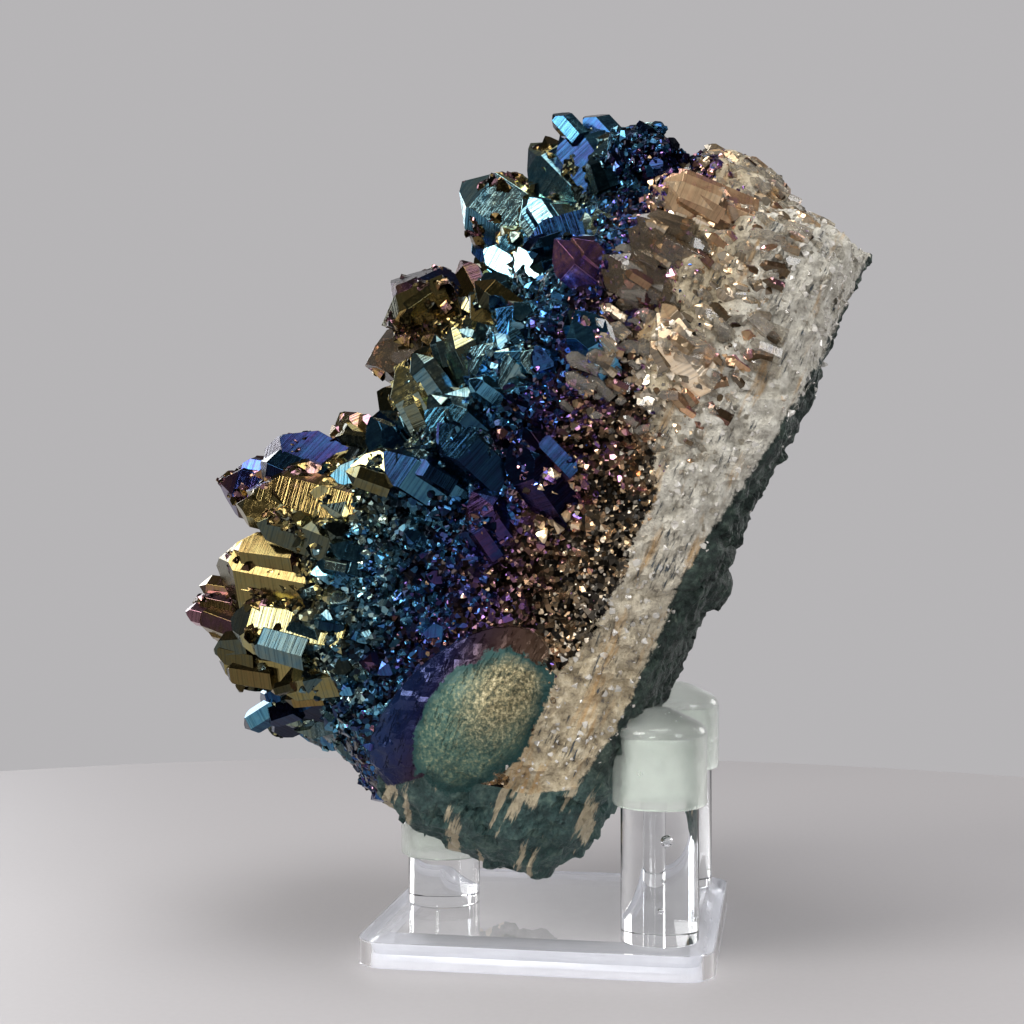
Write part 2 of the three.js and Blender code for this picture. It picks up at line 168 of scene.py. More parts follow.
def mixNode(tree, fac, first, second, blend="MIX"):
    inputs = {0: fac, 6: shade(first), 7: shade(second)}
    node = addNode(tree, "ShaderNodeMix", inputs, data_type="RGBA", blend_type=blend)
    return node.outputs[2]


def vectorNode(tree, operation, inputs):
    return addNode(tree, "ShaderNodeVectorMath", inputs, operation=operation).outputs


def newGroup(name, inputs, outputs):
    # inputs: (name, kind, default); outputs: (name, kind)
    kinds = {"value": "NodeSocketFloat", "colour": "NodeSocketColor", "vector": "NodeSocketVector"}
    group = bpy.data.node_groups.new(name, "ShaderNodeTree")
    for title, kind, default in inputs:
        socket = group.interface.new_socket(name=title, in_out="INPUT", socket_type=kinds[kind])
        if default is not None:
            socket.default_value = default
    for title, kind in outputs:
        group.interface.new_socket(name=title, in_out="OUTPUT", socket_type=kinds[kind])
    start = group.nodes.new("NodeGroupInput")
    end = group.nodes.new("NodeGroupOutput")
    return group, start.outputs, end.inputs


def useGroup(tree, group, inputs):
    return addNode(tree, "ShaderNodeGroup", inputs, node_tree=group).outputs


def objectPoint(tree):
    return tree.nodes.new("ShaderNodeTexCoord").outputs["Object"]


def noiseValue(tree, point, scale, detail=4.0, roughness=0.6):
    inputs = {"Vector": point, "Scale": scale, "Detail": detail, "Roughness": roughness}
    return addNode(tree, "ShaderNodeTexNoise", inputs).outputs["Fac"]


def attributeValue(tree, name):
    return addNode(tree, "ShaderNodeAttribute", attribute_name=name).outputs["Fac"]


def bumpNode(tree, height, strength, depth):
    # The depth of the relief is in millimetres
    inputs = {"Height": height, "Strength": strength, "Distance": depth * mm}
    return addNode(tree, "ShaderNodeBump", inputs)


# Stage: a pale floor, a dim room with a pale backdrop, and soft boxes

room = {
    "tableAt": (0, -120),
    "tableRadius": 330,
    "tableDrop": 0.1,  # a hair below the plate
    "table": (0.40, 0.385, 0.39),
    "backdrop": (0.47, 0.46, 0.47),
    "dim": 0.035,
    "glow": 0.12,
    # name: place, aim, size, power, colour
    "lights": [
        ("keyLight", (-330, -260, 360), (0, 0, 80), 250, 1.8, (1.0, 0.98, 0.95)),
        ("sideLight", (380, -270, 250), (10, 0, 80), 190, 0.7, (0.97, 0.98, 1.0)),
        ("topLight", (20, -60, 480), (0, 0, 80), 280, 1.0, (1.0, 1.0, 1.0)),
        ("frontLight", (-110, -520, 190), (-10, 0, 80), 130, 0.55, (1.0, 1.0, 1.0)),
        ("rimLight", (-320, 300, 200), (0, 0, 80), 190, 0.40, (0.95, 0.97, 1.0)),
        ("backLight", (320, 340, 160), (0, 0, 60), 190, 0.40, (1.0, 0.98, 0.96)),
    ],
}


def makeRoom():
    deselectAll()
    place = Vector((*room["tableAt"], -room["tableDrop"])) * mm
    bpy.ops.mesh.primitive_circle_add(
        vertices=160, radius=room["tableRadius"] * mm, fill_type="NGON", location=place
    )
    floor = bpy.context.object
    floor.name = "floor"
    material, tree, shader = newMaterial("palePaper")
    point = objectPoint(tree)
    grain = noiseValue(tree, point, 900, 3)
    colour = rampNode(
        tree, grain, [(0.3, [c * 0.97 for c in room["table"]]), (0.7, room["table"])]
    )
    plug(tree, shader.inputs, {"Base Color": colour, "Roughness": 0.55})
    floor.data.materials.append(material)

    world = bpy.data.worlds.new("studio")
    bpy.context.scene.world = world
    world.use_nodes = True
    tree = world.node_tree
    tree.nodes.clear()
    direction = tree.nodes.new("ShaderNodeTexCoord").outputs["Generated"]
    way = addNode(tree, "ShaderNodeSeparateXYZ", {0: direction}).outputs
    overhead = rampNode(tree, way["Z"], [(0.7, room["dim"]), (1.0, room["glow"])])
    behind = mathNode(
        tree,
        "MULTIPLY",
        above(tree, way["Y"], 0.55, 0.3),
        above(tree, mathNode(tree, "ABSOLUTE", way["Z"]), 0.45, -0.3),
    )
    glow = mixNode(tree, behind, overhead, room["backdrop"])
    path = tree.nodes.new("ShaderNodeLightPath").outputs
    outside = mathNode(tree, "LESS_THAN", path["Transmission Depth"], 0.5)
    mirrored = mathNode(tree, "MULTIPLY", path["Is Glossy Ray"], outside)
    colour = mixNode(tree, mirrored, room["backdrop"], glow)
    background = addNode(tree, "ShaderNodeBackground", {"Color": colour, "Strength": 1.0})
    addNode(tree, "ShaderNodeOutputWorld", {"Surface": background.outputs[0]})

    for name, place, aim, size, power, colour in room["lights"]:
        place, aim = Vector(place) * mm, Vector(aim) * mm
        bpy.ops.object.light_add(type="AREA", location=place)
        light = bpy.context.object
        light.name = name
        light.rotation_euler = (aim - place).to_track_quat("-Z", "Y").to_euler()
        light.data.shape = "DISK"
        light.data.size = size * mm
        light.data.energy = power
        light.data.color = colour


makeRoom()
bpy.context.scene.view_settings.view_transform = "Standard"
print("room and lights in place")


# The stone's own layers: depth of growth from the basalt back, in the X-Z plane

layers = {
    "corner": (53.5, 118.0),  # top back corner
    "growth": (-0.911, 0.413),  # from the back towards the crystal front
    "heart": (34.0, 4.0, 66.0),  # the points radiate from about here
    "full": 75.0,  # depth at which the coat has gone through all its colours
    # run down the back, and the depth at which the basalt ends there
    "basaltEdge": [(0, -0.4), (28, -0.4), (44, 1.9), (60, 4.4), (88, 4), (99, 6), (103, 12),
                   (107, 31), (111, 37)],
    # the same for the pale rock
    "paleEdge": [(0, 18), (8, 15), (17, 12.6), (40, 14.5), (55, 13), (72, 12.8), (84, 16.5)],
    # the same for the pale quartz under the clear and gilded shards
    "quartzEdge": [(0, 27), (12, 27), (30, 25), (42, 19), (52, 13), (72, 12.8), (84, 16.5)],
    # ovals on the near side: depth, run, half width, half length, turn in degrees
    "nodule": (24.2, 95.3, 8.2, 13.6, 18),
    "rim": (27.5, 97, 10.2, 19, 22),
    "golden": (21.5, 88, 5.5, 9, 15),
    # the rim shows only past this line: run and depth
    "rimEdge": [(76, 15), (86, 21), (97, 25), (108, 29), (114, 35)],
    "nearSide": (-16, -8),  # the ovals fade out between these places across the stone
    # the coat is this much further along on the top of the far side: place across, height
    "topShift": (0.12, (-6, 10), (108, 124)),
}
growthWay = np.array([layers["growth"][0], 0, layers["growth"][1]])


def growthDepth(places):
    (cx, cz), (gx, gz) = layers["corner"], layers["growth"]
    return (places[:, 0] - cx) * gx + (places[:, 2] - cz) * gz


def growthRun(places):
    # How far down along the basalt back, from the top back corner
    (cx, cz), (gx, gz) = layers["corner"], layers["growth"]
    return -(places[:, 0] - cx) * gz + (places[:, 2] - cz) * gx


def insideness(places, oval):
    # 0 at the middle of an oval on the near side, 1 on its outline
    depth, run, wide, long, turn = oval
    angle = math.radians(turn)
    s, u = growthDepth(places) - depth, growthRun(places) - run
    across = s * math.cos(angle) - u * math.sin(angle)
    along = s * math.sin(angle) + u * math.cos(angle)
    return np.hypot(across / wide, along / long) + 3 * smoothStep(*layers["nearSide"], places[:, 1])


def pastEdge(places, edge):
    # How far a place lies past a layer's edge, in millimetres of growth
    runs, depths = zip(*layers[edge])
    return growthDepth(places) - np.interp(growthRun(places), runs, depths)


def smoothStep(low, high, values):
    share = np.clip((values - low) / (high - low), 0, 1)
    return share * share * (3 - 2 * share)


def softNoise(places, cell, seed=0):
    # Value noise from -1 to 1, one cell of the given size in millimetres
    grid = places / cell + seed * 17.3
    base = np.floor(grid)
    ease = grid - base
    ease = ease * ease * (3 - 2 * ease)
    total = np.zeros(len(places))
    for corner in range(8):
        step = np.array([corner & 1, (corner >> 1) & 1, corner >> 2])
        weight = np.prod(np.where(step, ease, 1 - ease), axis=1)
        spot = base + step
        value = np.sin(spot @ np.array([127.1, 269.5, 419.2]) + seed * 31.7) * 43758.5453
        total += weight * (value - np.floor(value))
    return 2 * total - 1


def coatLevel(places, seed=3):
    # 0 bare rock to 1 the last colour of the coat
    level = growthDepth(places) / layers["full"]
    shift, across, height = layers["topShift"]
    level += shift * smoothStep(*across, places[:, 1]) * smoothStep(*height, places[:, 2])
    return level + 0.045 * softNoise(places, 9, seed) + 0.03 * softNoise(places, 3.5, seed + 1)


# Skin of the stone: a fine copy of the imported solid, roughened as broken rock is

skin = {
    "voxel": 0.78,
    "sink": 0.6,  # how far it lies under the faces of the crystals
    # name, texture, size and strength
    "relief": [("rockLumps", "CLOUDS", 5.0, 0.9), ("rockCracks", "VORONOI", 3.2, 0.7)],
    "seed": 9,
    "plate": 2.9,  # size of the broken plates
    "squeeze": 0.45,  # the plates are this much longer along the growth
    "slope": 0.24,
    "step": 0.35,
    "push": (-1.3, 0.9),  # furthest in and out
    "bareShare": 0.7,  # share of the push on rock that isn't coated
    # grit on the rock: strength, cell, seed
    "grit": [(0.5, 2.2, 21), (0.35, 1.3, 22)],
    "calm": 0.15,  # share of the relief that stays on the nodule and its rim
}


def makeSkin():
    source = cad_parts["quartz_cluster"]
    piece = source.copy()
    piece.data = source.data.copy()
    bpy.context.scene.collection.objects.link(piece)
    piece.parent = None
    for key in list(piece.keys()):
        del piece[key]
    piece.name = "stoneSkin"
    makeActive(piece)
    bpy.ops.object.mode_set(mode="EDIT")
    bpy.ops.mesh.select_all(action="SELECT")
    bpy.ops.mesh.remove_doubles(threshold=0.00001)
    bpy.ops.object.mode_set(mode="OBJECT")
    applyModifier(piece, "REMESH", mode="VOXEL", voxel_size=skin["voxel"] * mm)
    applyModifier(piece, "SMOOTH", iterations=2)
    for name, kind, size, strength in skin["relief"]:
        texture = bpy.data.textures.new(name, kind)
        texture.noise_scale = size * mm
        applyModifier(
            piece,
            "DISPLACE",
            texture=texture,
            texture_coords="LOCAL",
            strength=strength * mm,
            mid_level=0.5 + skin["sink"] / (2 * strength),
        )
    return piece


def readVertices(piece, what):
    values = np.zeros(len(piece.data.vertices) * 3)
    piece.data.vertices.foreach_get(what, values)
    return values.reshape(-1, 3)


def meshPoints(piece):
    return readVertices(piece, "co") / mm


def meshNormals(piece):
    return readVertices(piece, "normal")


def addLayer(piece, name, values, domain="POINT"):
    layer = piece.data.attributes.new(name, "FLOAT", domain)
    layer.data.foreach_set("value", np.asarray(values, np.float32))


def thinOut(candidates, spacing, seed):
    # Keeps points that are at least the spacing apart
    rng = np.random.default_rng(seed)
    cells, kept = {}, []
    around = [(i, j, k) for i in (-1, 0, 1) for j in (-1, 0, 1) for k in (-1, 0, 1)]
    for index in rng.permutation(len(candidates)):
        x, y, z = candidates[index]
        a, b, c = int(x // spacing), int(y // spacing), int(z // spacing)
        near = [o for i, j, k in around for o in cells.get((a + i, b + j, c + k), ())]
        if all((x - u) ** 2 + (y - v) ** 2 + (z - w) ** 2 >= spacing**2 for u, v, w in near):
            cells.setdefault((a, b, c), []).append((x, y, z))
            kept.append(index)
    return np.array(kept)


def breakSkin(piece):
    # Breaks the skin into small plates, each with its own slope, and longer along the growth
    rng = np.random.default_rng(skin["seed"])
    places, normals = meshPoints(piece), meshNormals(piece)
    squeezed = places - skin["squeeze"] * (places @ growthWay)[:, None] * growthWay
    seeds = thinOut(squeezed, skin["plate"], skin["seed"])
    tree = kdtree.KDTree(len(seeds))
    for number, index in enumerate(seeds):
        tree.insert(squeezed[index], number)
    tree.balance()
    owner = np.array([tree.find(p)[1] for p in squeezed])
    tilt = rng.normal(size=(len(seeds), 3)) * skin["slope"]
    step = rng.normal(size=len(seeds)) * skin["step"]
    away = places - places[seeds][owner]
    push = np.einsum("ij,ij->i", away, tilt[owner]) + step[owner]
    past = pastEdge(places, "paleEdge")
    kept = between((skin["bareShare"], 1), smoothStep(0, 8, past))
    push = np.clip(push, *skin["push"]) * kept
    grit = sum(strength * softNoise(places, cell, seed) for strength, cell, seed in skin["grit"])
    push += grit * smoothStep(4, -2, past)
    ovals = [insideness(places, layers[name]) for name in ("nodule", "rim")]
    push *= between((skin["calm"], 1), smoothStep(0.97, 1.05, np.minimum(*ovals)))
    moved = (places + normals * push[:, None]) * mm
    piece.data.vertices.foreach_set("co", moved.ravel())
    piece.data.update()
    addLayer(piece, "tone", rng.uniform(-1, 1, len(seeds))[owner])


stoneSkin = makeSkin()
breakSkin(stoneSkin)
skinPoints = meshPoints(stoneSkin)
skinNormals = meshNormals(stoneSkin)
skinDepth = growthDepth(skinPoints)
skinRun = growthRun(skinPoints)


def layerSkin():
    addLayer(stoneSkin, "coat", coatLevel(skinPoints))
    addLayer(stoneSkin, "depth", skinDepth)
    addLayer(stoneSkin, "run", skinRun)
    for edge in ("basaltEdge", "paleEdge", "quartzEdge", "rimEdge"):
        addLayer(stoneSkin, edge, pastEdge(skinPoints, edge))
    for oval in ("nodule", "rim", "golden"):
        addLayer(stoneSkin, oval, insideness(skinPoints, layers[oval]))


layerSkin()
print("skin of the stone:", len(skinPoints), "points")


# Crystal shapes: a six-sided prism with leaning faces cut at its tip

crystals = {
    "lean": 51.8,  # degrees between the axis and a tip face's normal
    "smallBite": (0.04, 0.16),
    "largeBite": (0.12, 0.46),
    "flare": 1.04,
    "rootDepth": 2.2,
    "seedStep": 1.37,
    "grainShift": 37.0,  # keeps one crystal's growth lines unlike the next one's
    "wornEdge": 0.12,
}


def cutPoint(radius, length, bites):
    # Models one quartz point along +Z with its root at the origin, and gives its corners and faces
    deselectAll()
    bpy.ops.mesh.primitive_cone_add(
        vertices=6,
        radius1=radius * crystals["flare"],
        radius2=radius,
        depth=length,
        location=(0, 0, length / 2),
    )
    bpy.ops.object.transform_apply(location=True, rotation=True, scale=True)
    piece = bpy.context.object
    bpy.ops.object.mode_set(mode="EDIT")
    lean = math.radians(crystals["lean"])
    for face, bite in enumerate(bites):
        turn = math.radians(60 * (face + 0.5) + 90)
        normal = Vector(
            (math.cos(turn) * math.sin(lean), math.sin(turn) * math.sin(lean), math.cos(lean))
        )
        bpy.ops.mesh.select_all(action="SELECT")
        bpy.ops.mesh.bisect(
            plane_co=normal * (length * normal.z - radius * bite),
            plane_no=normal,
            use_fill=True,
            clear_outer=True,
        )
    bpy.ops.mesh.select_all(action="SELECT")
    bpy.ops.mesh.remove_doubles(threshold=radius * 0.004)
    bpy.ops.object.mode_set(mode="OBJECT")
    mesh = piece.data
    corners = np.array([v.co for v in mesh.vertices])
    faces = [list(p.vertices) for p in mesh.polygons]
    normals = np.array([p.normal for p in mesh.polygons])
    bpy.data.objects.remove(piece)
    bpy.data.meshes.remove(mesh)
    return {"corners": corners, "faces": faces, "normals": normals}


def faceGrain(shape):
    # For each face, across and along in millimetres, with along running up the crystal
    rows = []
    for face, normal in zip(shape["faces"], shape["normals"]):
        across = np.cross((0, 0, 1), normal)
        size = np.linalg.norm(across)
        across = across / size if size > 1e-6 else np.array((1.0, 0, 0))
        along = np.cross(normal, across)
        spots = shape["corners"][face]
        rows.append(np.stack([spots @ across, spots @ along], axis=1))
    return rows


def cadBites(seed):
    sizes = [crystals["smallBite"] if f % 2 else crystals["largeBite"] for f in range(6)]
    return [between(sizes[f], chance(f, seed)) for f in range(6)]


def startPile():
    parts = ("corners", "faces", "grain", "coat", "tone", "bright")
    return {**{name: [] for name in parts}, "count": 0}


def addCrystal(pile, shape, tip, axis, length, spin, coat, bright, seed):
    # Puts a shape with its tip at a place; coat and bright are one number for the crystal
    turn = Vector((0, 0, 1)).rotation_difference(Vector(axis)) @ Quaternion((0, 0, 1), spin)
    matrix = np.array(turn.to_matrix())
    start = np.array(tip) - np.array(axis) * length
    corners = shape["corners"] @ matrix.T + start
    offset = pile["count"]
    pile["corners"].append(corners)
    pile["count"] += len(corners)
    for number, (face, grain) in enumerate(zip(shape["faces"], shape["grain"])):
        pile["faces"].append([offset + v for v in face])
        pile["grain"].append(grain + crystals["grainShift"] * coat)
        pile["coat"].append(coat)
        pile["bright"].append(bright)
        pile["tone"].append(2 * chance(number + 3, seed) - 1)


def buildPile(pile, name):
    mesh = bpy.data.meshes.new(name)
    mesh.from_pydata(np.concatenate(pile["corners"]) * mm, [], pile["faces"])
    piece = bpy.data.objects.new(name, mesh)
    bpy.context.scene.collection.objects.link(piece)
    grain = mesh.uv_layers.new(name="grain")
    grain.data.foreach_set("uv", np.concatenate(pile["grain"]).astype(np.float32).ravel())
    for title in ("coat", "tone", "bright"):
        addLayer(piece, title, pile[title], "FACE")
    return piece


# Outlines of the stone in X and Z at five stations across its width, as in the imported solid
stations = [
    (-26, [(49, 112), (40, 120), (26, 123), (14, 120), (2, 111), (-7, 98), (-14, 89), (-26, 82),
           (-37, 73), (-41, 60), (-38, 52), (-32, 42), (-24, 30), (-14, 22), (-4, 18), (5, 19),
           (12, 30), (21, 47), (33, 72), (42, 92)]),
    (-10, [(52, 117), (42, 126), (28, 133), (14, 130), (2, 121), (-12, 106), (-22, 94), (-36, 86),
           (-46, 79), (-51, 64), (-49, 50), (-42, 38), (-30, 26), (-20, 17), (-9, 12), (3, 12),
           (11, 22), (20, 43), (33, 71), (43, 91)]),
    (4, [(54, 118), (42, 128), (28, 137), (12, 139), (-2, 127), (-14, 115), (-24, 104), (-30, 93),
         (-45, 85), (-53, 74), (-56, 60), (-52, 48), (-41, 31), (-24, 17), (-10, 10), (4, 11),
         (11, 23), (20, 43), (33, 71), (44, 93)]),
    (16, [(51, 118), (40, 127), (24, 137), (10, 142), (-4, 134), (-13, 122), (-24, 110), (-29, 98),
          (-40, 89), (-51, 82), (-56, 66), (-54, 50), (-44, 33), (-27, 18), (-10, 12), (2, 16),
          (10, 30), (20, 48), (32, 72), (43, 92)]),
    (28, [(42, 109), (32, 122), (18, 131), (6, 137), (-8, 126), (-16, 112), (-26, 102), (-32, 92),
          (-44, 84), (-48, 68), (-46, 52), (-36, 32), (-22, 27), (-6, 28), (4, 40), (13, 54),
          (24, 71), (34, 90)]),
]
outlineHeart = (2, 76)


def reach(outline, angle):
    dx, dz = math.cos(angle), math.sin(angle)
    for i, (px, pz) in enumerate(outline):
        qx, qz = outline[(i + 1) % len(outline)]
        ax, az = px - outlineHeart[0], pz - outlineHeart[1]
        ex, ez = qx - px, qz - pz
        cross = dx * ez - dz * ex
        if abs(cross) < 1e-9:
            continue
        along = (ax * ez - az * ex) / cross
        share = (ax * dz - az * dx) / cross
        if along > 0 and 0 <= share < 1:
            return along


def bodyReach(angle, y):
    k = 0
    while k < len(stations) - 2 and y > stations[k + 1][0]:
        k += 1
    (low, lowLine), (high, highLine) = stations[k], stations[k + 1]
    share = min(1, max(0, (y - low) / (high - low)))
    return between((reach(lowLine, angle), reach(highLine, angle)), share)


def bodyPoint(angle, y):
    r = bodyReach(angle, y)
    return Vector((outlineHeart[0] + r * math.cos(angle), y, outlineHeart[1] + r * math.sin(angle)))


def swayed(direction, tilt, seed):
    sway = Vector([chance(k, seed) - 0.5 for k in (1, 2, 3)])
    return (direction.normalized() + sway * 2 * tilt).normalized()


# The large points that the eye finds first: tip, a place inside that the point grew from, radius,
# colour stage of the coat and brightness. Stage 0 is bare smoky quartz. The brightness is partly the
# crystal's own tone and partly painted light: a painted highlight on the brightest, painted shade on the
# darkest
largePoints = {
    "gold_blade": ((-53, -20, 79), (-29, -22, 73), 6.4, 0.9, 0.9),
    "violet_tip": ((-62, -5, 80), (-45, -6, 76), 5.2, 0.47, 0.6),
    "dark_crown": ((-54, -9, 88), (-26, -16, 73), 8.0, 0.5, 0.3),
    "gold_step": ((-38, -8, 93), (-30, -10, 84), 3.6, 0.91, 0.9),
    "blue_face": ((-29, -19, 94), (-20, -14, 81), 5.8, 0.63, 0.8),
    "striped_step": ((-50, -25, 75), (-31, -25, 68), 4.2, 0.84, 0.6),
    "gold_shoulder": ((-60, -15, 66), (-33, -21, 62), 7.6, 0.92, 0.75),
    "rose_tip": ((-67, -7, 58), (-42, -14, 54), 6.4, 0.99, 1),
    "striped_ridge": ((-54, -22, 56), (-30, -25, 53), 4.8, 0.82, 0.75),
    "lower_gold": ((-59, -13, 49), (-38, -20, 48), 5.0, 0.86, 0.5),
    "slate_tip": ((-53, -9, 37), (-36, -16, 45), 5.4, 0.61, 0.6),
    "low_yellow": ((-46, -22, 45), (-32, -24, 47), 3.6, 0.88, 0.6),
    "pale_stripes": ((-24, -20, 101), (-16, -18, 86), 5.0, 0.79, 0.9),
    "pale_blade": ((-15, -21, 106), (-10, -18, 95), 3.6, 0.78, 1),
    "round_blue": ((-8, -33, 101), (1, -18, 92), 6.6, 0.65, 1.5),
    "navy_face": ((-8, -27, 109), (1, -16, 101), 5.0, 0.56, 0.8),
    "olive_face": ((-15, -14, 113), (-4, -12, 103), 5.4, 0.85, 0.8),
    "dark_ridge": ((-6, -15, 117), (8, -12, 121), 4.8, 0.54, 0.5),
    "pale_tooth": ((10, -19, 126), (12, -16, 116), 3.8, 0.77, 0.9),
    "blue_blade": ((8, -34, 107), (13, -24, 93), 3.8, 0.62, 0.9),
    "near_slate": ((-26, -30, 85), (-10, -23, 74), 5.2, 0.6, 0.45),
    "near_navy": ((-16, -32, 90), (-3, -24, 77), 4.8, 0.6, 0.35),
    "near_brown": ((-10, -33, 79), (-2, -25, 66), 3.8, 0.48, 0.4),
    "near_violet": ((-3, -34, 87), (6, -26, 73), 4.2, 0.52, 0.3),
    "near_smoky": ((14, -30, 119), (29, -24, 112), 4.0, 0, 0),
    "near_umber": ((17, -27, 127), (34, -21, 120), 4.4, 0.31, 1.1),
    "near_tan": ((19, -33, 106), (28, -27, 94), 3.4, 0.2, 1.2),
    "near_clear": ((10, -32, 115), (24, -25, 106), 4.0, 0, 0),
    "near_rose": ((2, -28, 119), (16, -23, 108), 4.6, 0.46, 1.2),
    "near_glint": ((-37, -28, 68), (-19, -23, 63), 4.4, 0.66, 0.8),
    "near_low": ((-38, -27, 59), (-22, -22, 58), 4.0, 0.7, 0.5),
    "cyan_crown": ((-22, 16, 137), (-1, 10, 122), 7.8, 0.73, 2.0),
    "cyan_front": ((-15, 8, 127), (1, 2, 117), 6.5, 0.71, 2.0),
    "cyan_low": ((-18, 10, 120), (-2, 4, 112), 5.6, 0.68, 1.9),
    "cyan_mid": ((-7, 4, 133), (3, 0, 119), 5.0, 0.72, 1.6),
    "top_slate": ((-8, 12, 143), (7, 8, 127), 6.0, 0.73, 1.1),
    "top_navy": ((-1, 10, 147), (9, 6, 132), 6.0, 0.62, 0.8),
    "top_violet": ((8, 2, 143), (12, 0, 130), 5.4, 0.68, 0.6),
    "far_plum": ((-37, 22, 121), (-17, 16, 108), 6.8, 0.47, 0.35),
    "far_gold": ((-36, 12, 108), (-21, 12, 114), 4.6, 0.9, 0.9),
    "grey_knob": ((-41, 18, 101), (-24, 14, 105), 6.0, 0, 0),
    "far_olive": ((-20, 8, 114), (-9, 6, 105), 4.4, 0.85, 0.8),
    "far_shelf": ((-62, 16, 76), (-38, 14, 72), 7.0, 0.92, 0.8),
    "far_low": ((-64, 14, 52), (-40, 12, 56), 6.8, 0.86, 0.8),
    "far_foot": ((-52, 20, 36), (-34, 14, 46), 6.0, 0.7, 0.7),
    "far_flank": ((-60, 31, 64), (-36, 22, 66), 6.4, 0.88, 0.7),
    "far_block": ((-50, 33, 86), (-28, 22, 80), 6.6, 0.95, 0.6),
    "far_crest": ((-10, 32, 134), (2, 18, 120), 6.4, 0.62, 0.8),
    "far_peak": ((6, 28, 143), (12, 18, 128), 5.6, 0.56, 0.7),
}

# Fields of points spread over the front, and one of prisms that lie along the far side
fields = [
    {"seed": 11, "count": 32, "turn": (86, 228), "y": (-15, 29), "radius": (4.8, 7.2),
     "rise": (5, 8), "tilt": 0.22},
    {"seed": 25, "count": 24, "turn": (84, 218), "y": (-27, -16), "radius": (3.6, 5.8),
     "rise": (3.5, 6.5), "tilt": 0.26},
]
farField = {"seed": 61, "count": 10, "x": (-34, 24), "z": (52, 118), "radius": (4.4, 6.4),
            "length": (16, 22), "lift": 0.14, "tilt": 0.14, "side": 28, "bulge": 6}

# Thinner points that grew side by side with a large one, as shares of its radius
companions = {
    "count": 3,
    "shapes": 8,
    "height": 4.2,  # in radii of their own
    "size": (0.3, 0.62),
    "drop": (0.15, 1.3),
    "overlap": 0.62,
    "lean": 0.16,
    "coatSpread": 0.16,
    "bright": (0.4, 1.1),
}


def plantPoint(pile, tip, axis, radius, length, seed, coat=None, bright=None):
    # One large point, and a few thinner ones that grew side by side with it
    spin = 2 * math.pi * chance(5, seed)
    shape = cutPoint(radius, length, cadBites(seed))
    shape["grain"] = faceGrain(shape)
    if coat is None:
        middle = np.array([list(tip - axis * length * 0.35)])
        coat = float(coatLevel(middle)[0]) + between((-0.09, 0.09), chance(7, seed))
        bright = between((0.35, 1.0), chance(8, seed))
    addCrystal(pile, shape, tip, axis, length, spin, coat, bright, seed)
    side = axis.orthogonal().normalized()
    for part in range(companions["count"]):
        angle = spin + math.radians(60 * math.floor(6 * chance(part + 11, seed)) + 30)
        out = Quaternion(axis, angle) @ side
        thin = radius * between(companions["size"], chance(part + 21, seed))
        drop = radius * between(companions["drop"], chance(part + 31, seed))
        place = tip - axis * drop + out * (radius - companions["overlap"] * thin)
        small = thinShapes[int(chance(part + 41, seed) * len(thinShapes))]
        scaled = {
            "corners": small["corners"] * thin,
            "faces": small["faces"],
            "grain": [g * thin for g in small["grain"]],
        }
        lean = swayed(axis, companions["lean"], seed + part)
        height = companions["height"] * thin
        partCoat = coat + companions["coatSpread"] * (chance(part, seed) - 0.5)
        partBright = bright * between(companions["bright"], chance(part + 51, seed))
        addCrystal(pile, scaled, place, lean, height, spin, partCoat, partBright, seed + part)


def makeThinShapes():
    made = []
    for seed in range(companions["shapes"]):
        shape = cutPoint(1.0, companions["height"], cadBites(400 + seed))
        shape["grain"] = faceGrain(shape)
        made.append(shape)
    return made


thinShapes = makeThinShapes()


def growLargePoints():
    coated, bare = startPile(), startPile()
    for number, (tip, root, radius, coat, bright) in enumerate(largePoints.values()):
        tip, root = Vector(tip), Vector(root)
        axis = tip - root
        length = axis.length
        pile = coated if bright else bare
        plantPoint(pile, tip, axis.normalized(), radius, length, 90 + number, coat, bright or 1.0)
    return buildPile(coated, "largePoints"), buildPile(bare, "smokyPoints")


def growFieldPoints():
    pile = startPile()
    for field in fields:
        for i in range(1, field["count"] + 1):
            u, v = evenSpread(i + field["seed"])
            seed = field["seed"] + i * crystals["seedStep"]
            foot = bodyPoint(math.radians(between(field["turn"], u)), between(field["y"], v))
            size = chance(4, seed)
            radius = between(field["radius"], size)
            rise = between(field["rise"], 0.6 * size + 0.4 * chance(6, seed))
            axis = swayed(foot - Vector(layers["heart"]), field["tilt"], seed)
            length = rise + crystals["rootDepth"] * radius
            plantPoint(pile, foot + axis * rise, axis, radius, length, seed)
    return buildPile(pile, "frontPoints")


def growFarPoints():
    pile = startPile()
    field = farField
    for i in range(1, field["count"] + 1):
        u, v = evenSpread(i + field["seed"])
        seed = field["seed"] + i * crystals["seedStep"]
        x, z = between(field["x"], u), between(field["z"], v)
        dx, dz = x - outlineHeart[0], z - outlineHeart[1]
        size = math.hypot(dx, dz) / bodyReach(math.atan2(dz, dx), field["side"])
        if size > 0.97:
            continue
        radius = between(field["radius"], chance(4, seed))
        depth = field["side"] + field["bulge"] * math.sqrt(1 - size**3)
        middle = Vector((x, depth - 0.6 * radius, z))
        outward = middle - Vector(layers["heart"])
        outward.y = 0
        outward.normalize()
        outward.y = field["lift"]
        axis = swayed(outward, field["tilt"], seed)
        length = between(field["length"], chance(6, seed))
        plantPoint(pile, middle + axis * length / 2, axis, radius, length, seed)
    return buildPile(pile, "farPoints")


largePiece, smokyPiece = growLargePoints()
bigPieces = [largePiece, growFieldPoints(), growFarPoints()]
print("large crystals:", sum(len(p.data.polygons) for p in bigPieces), "faces")
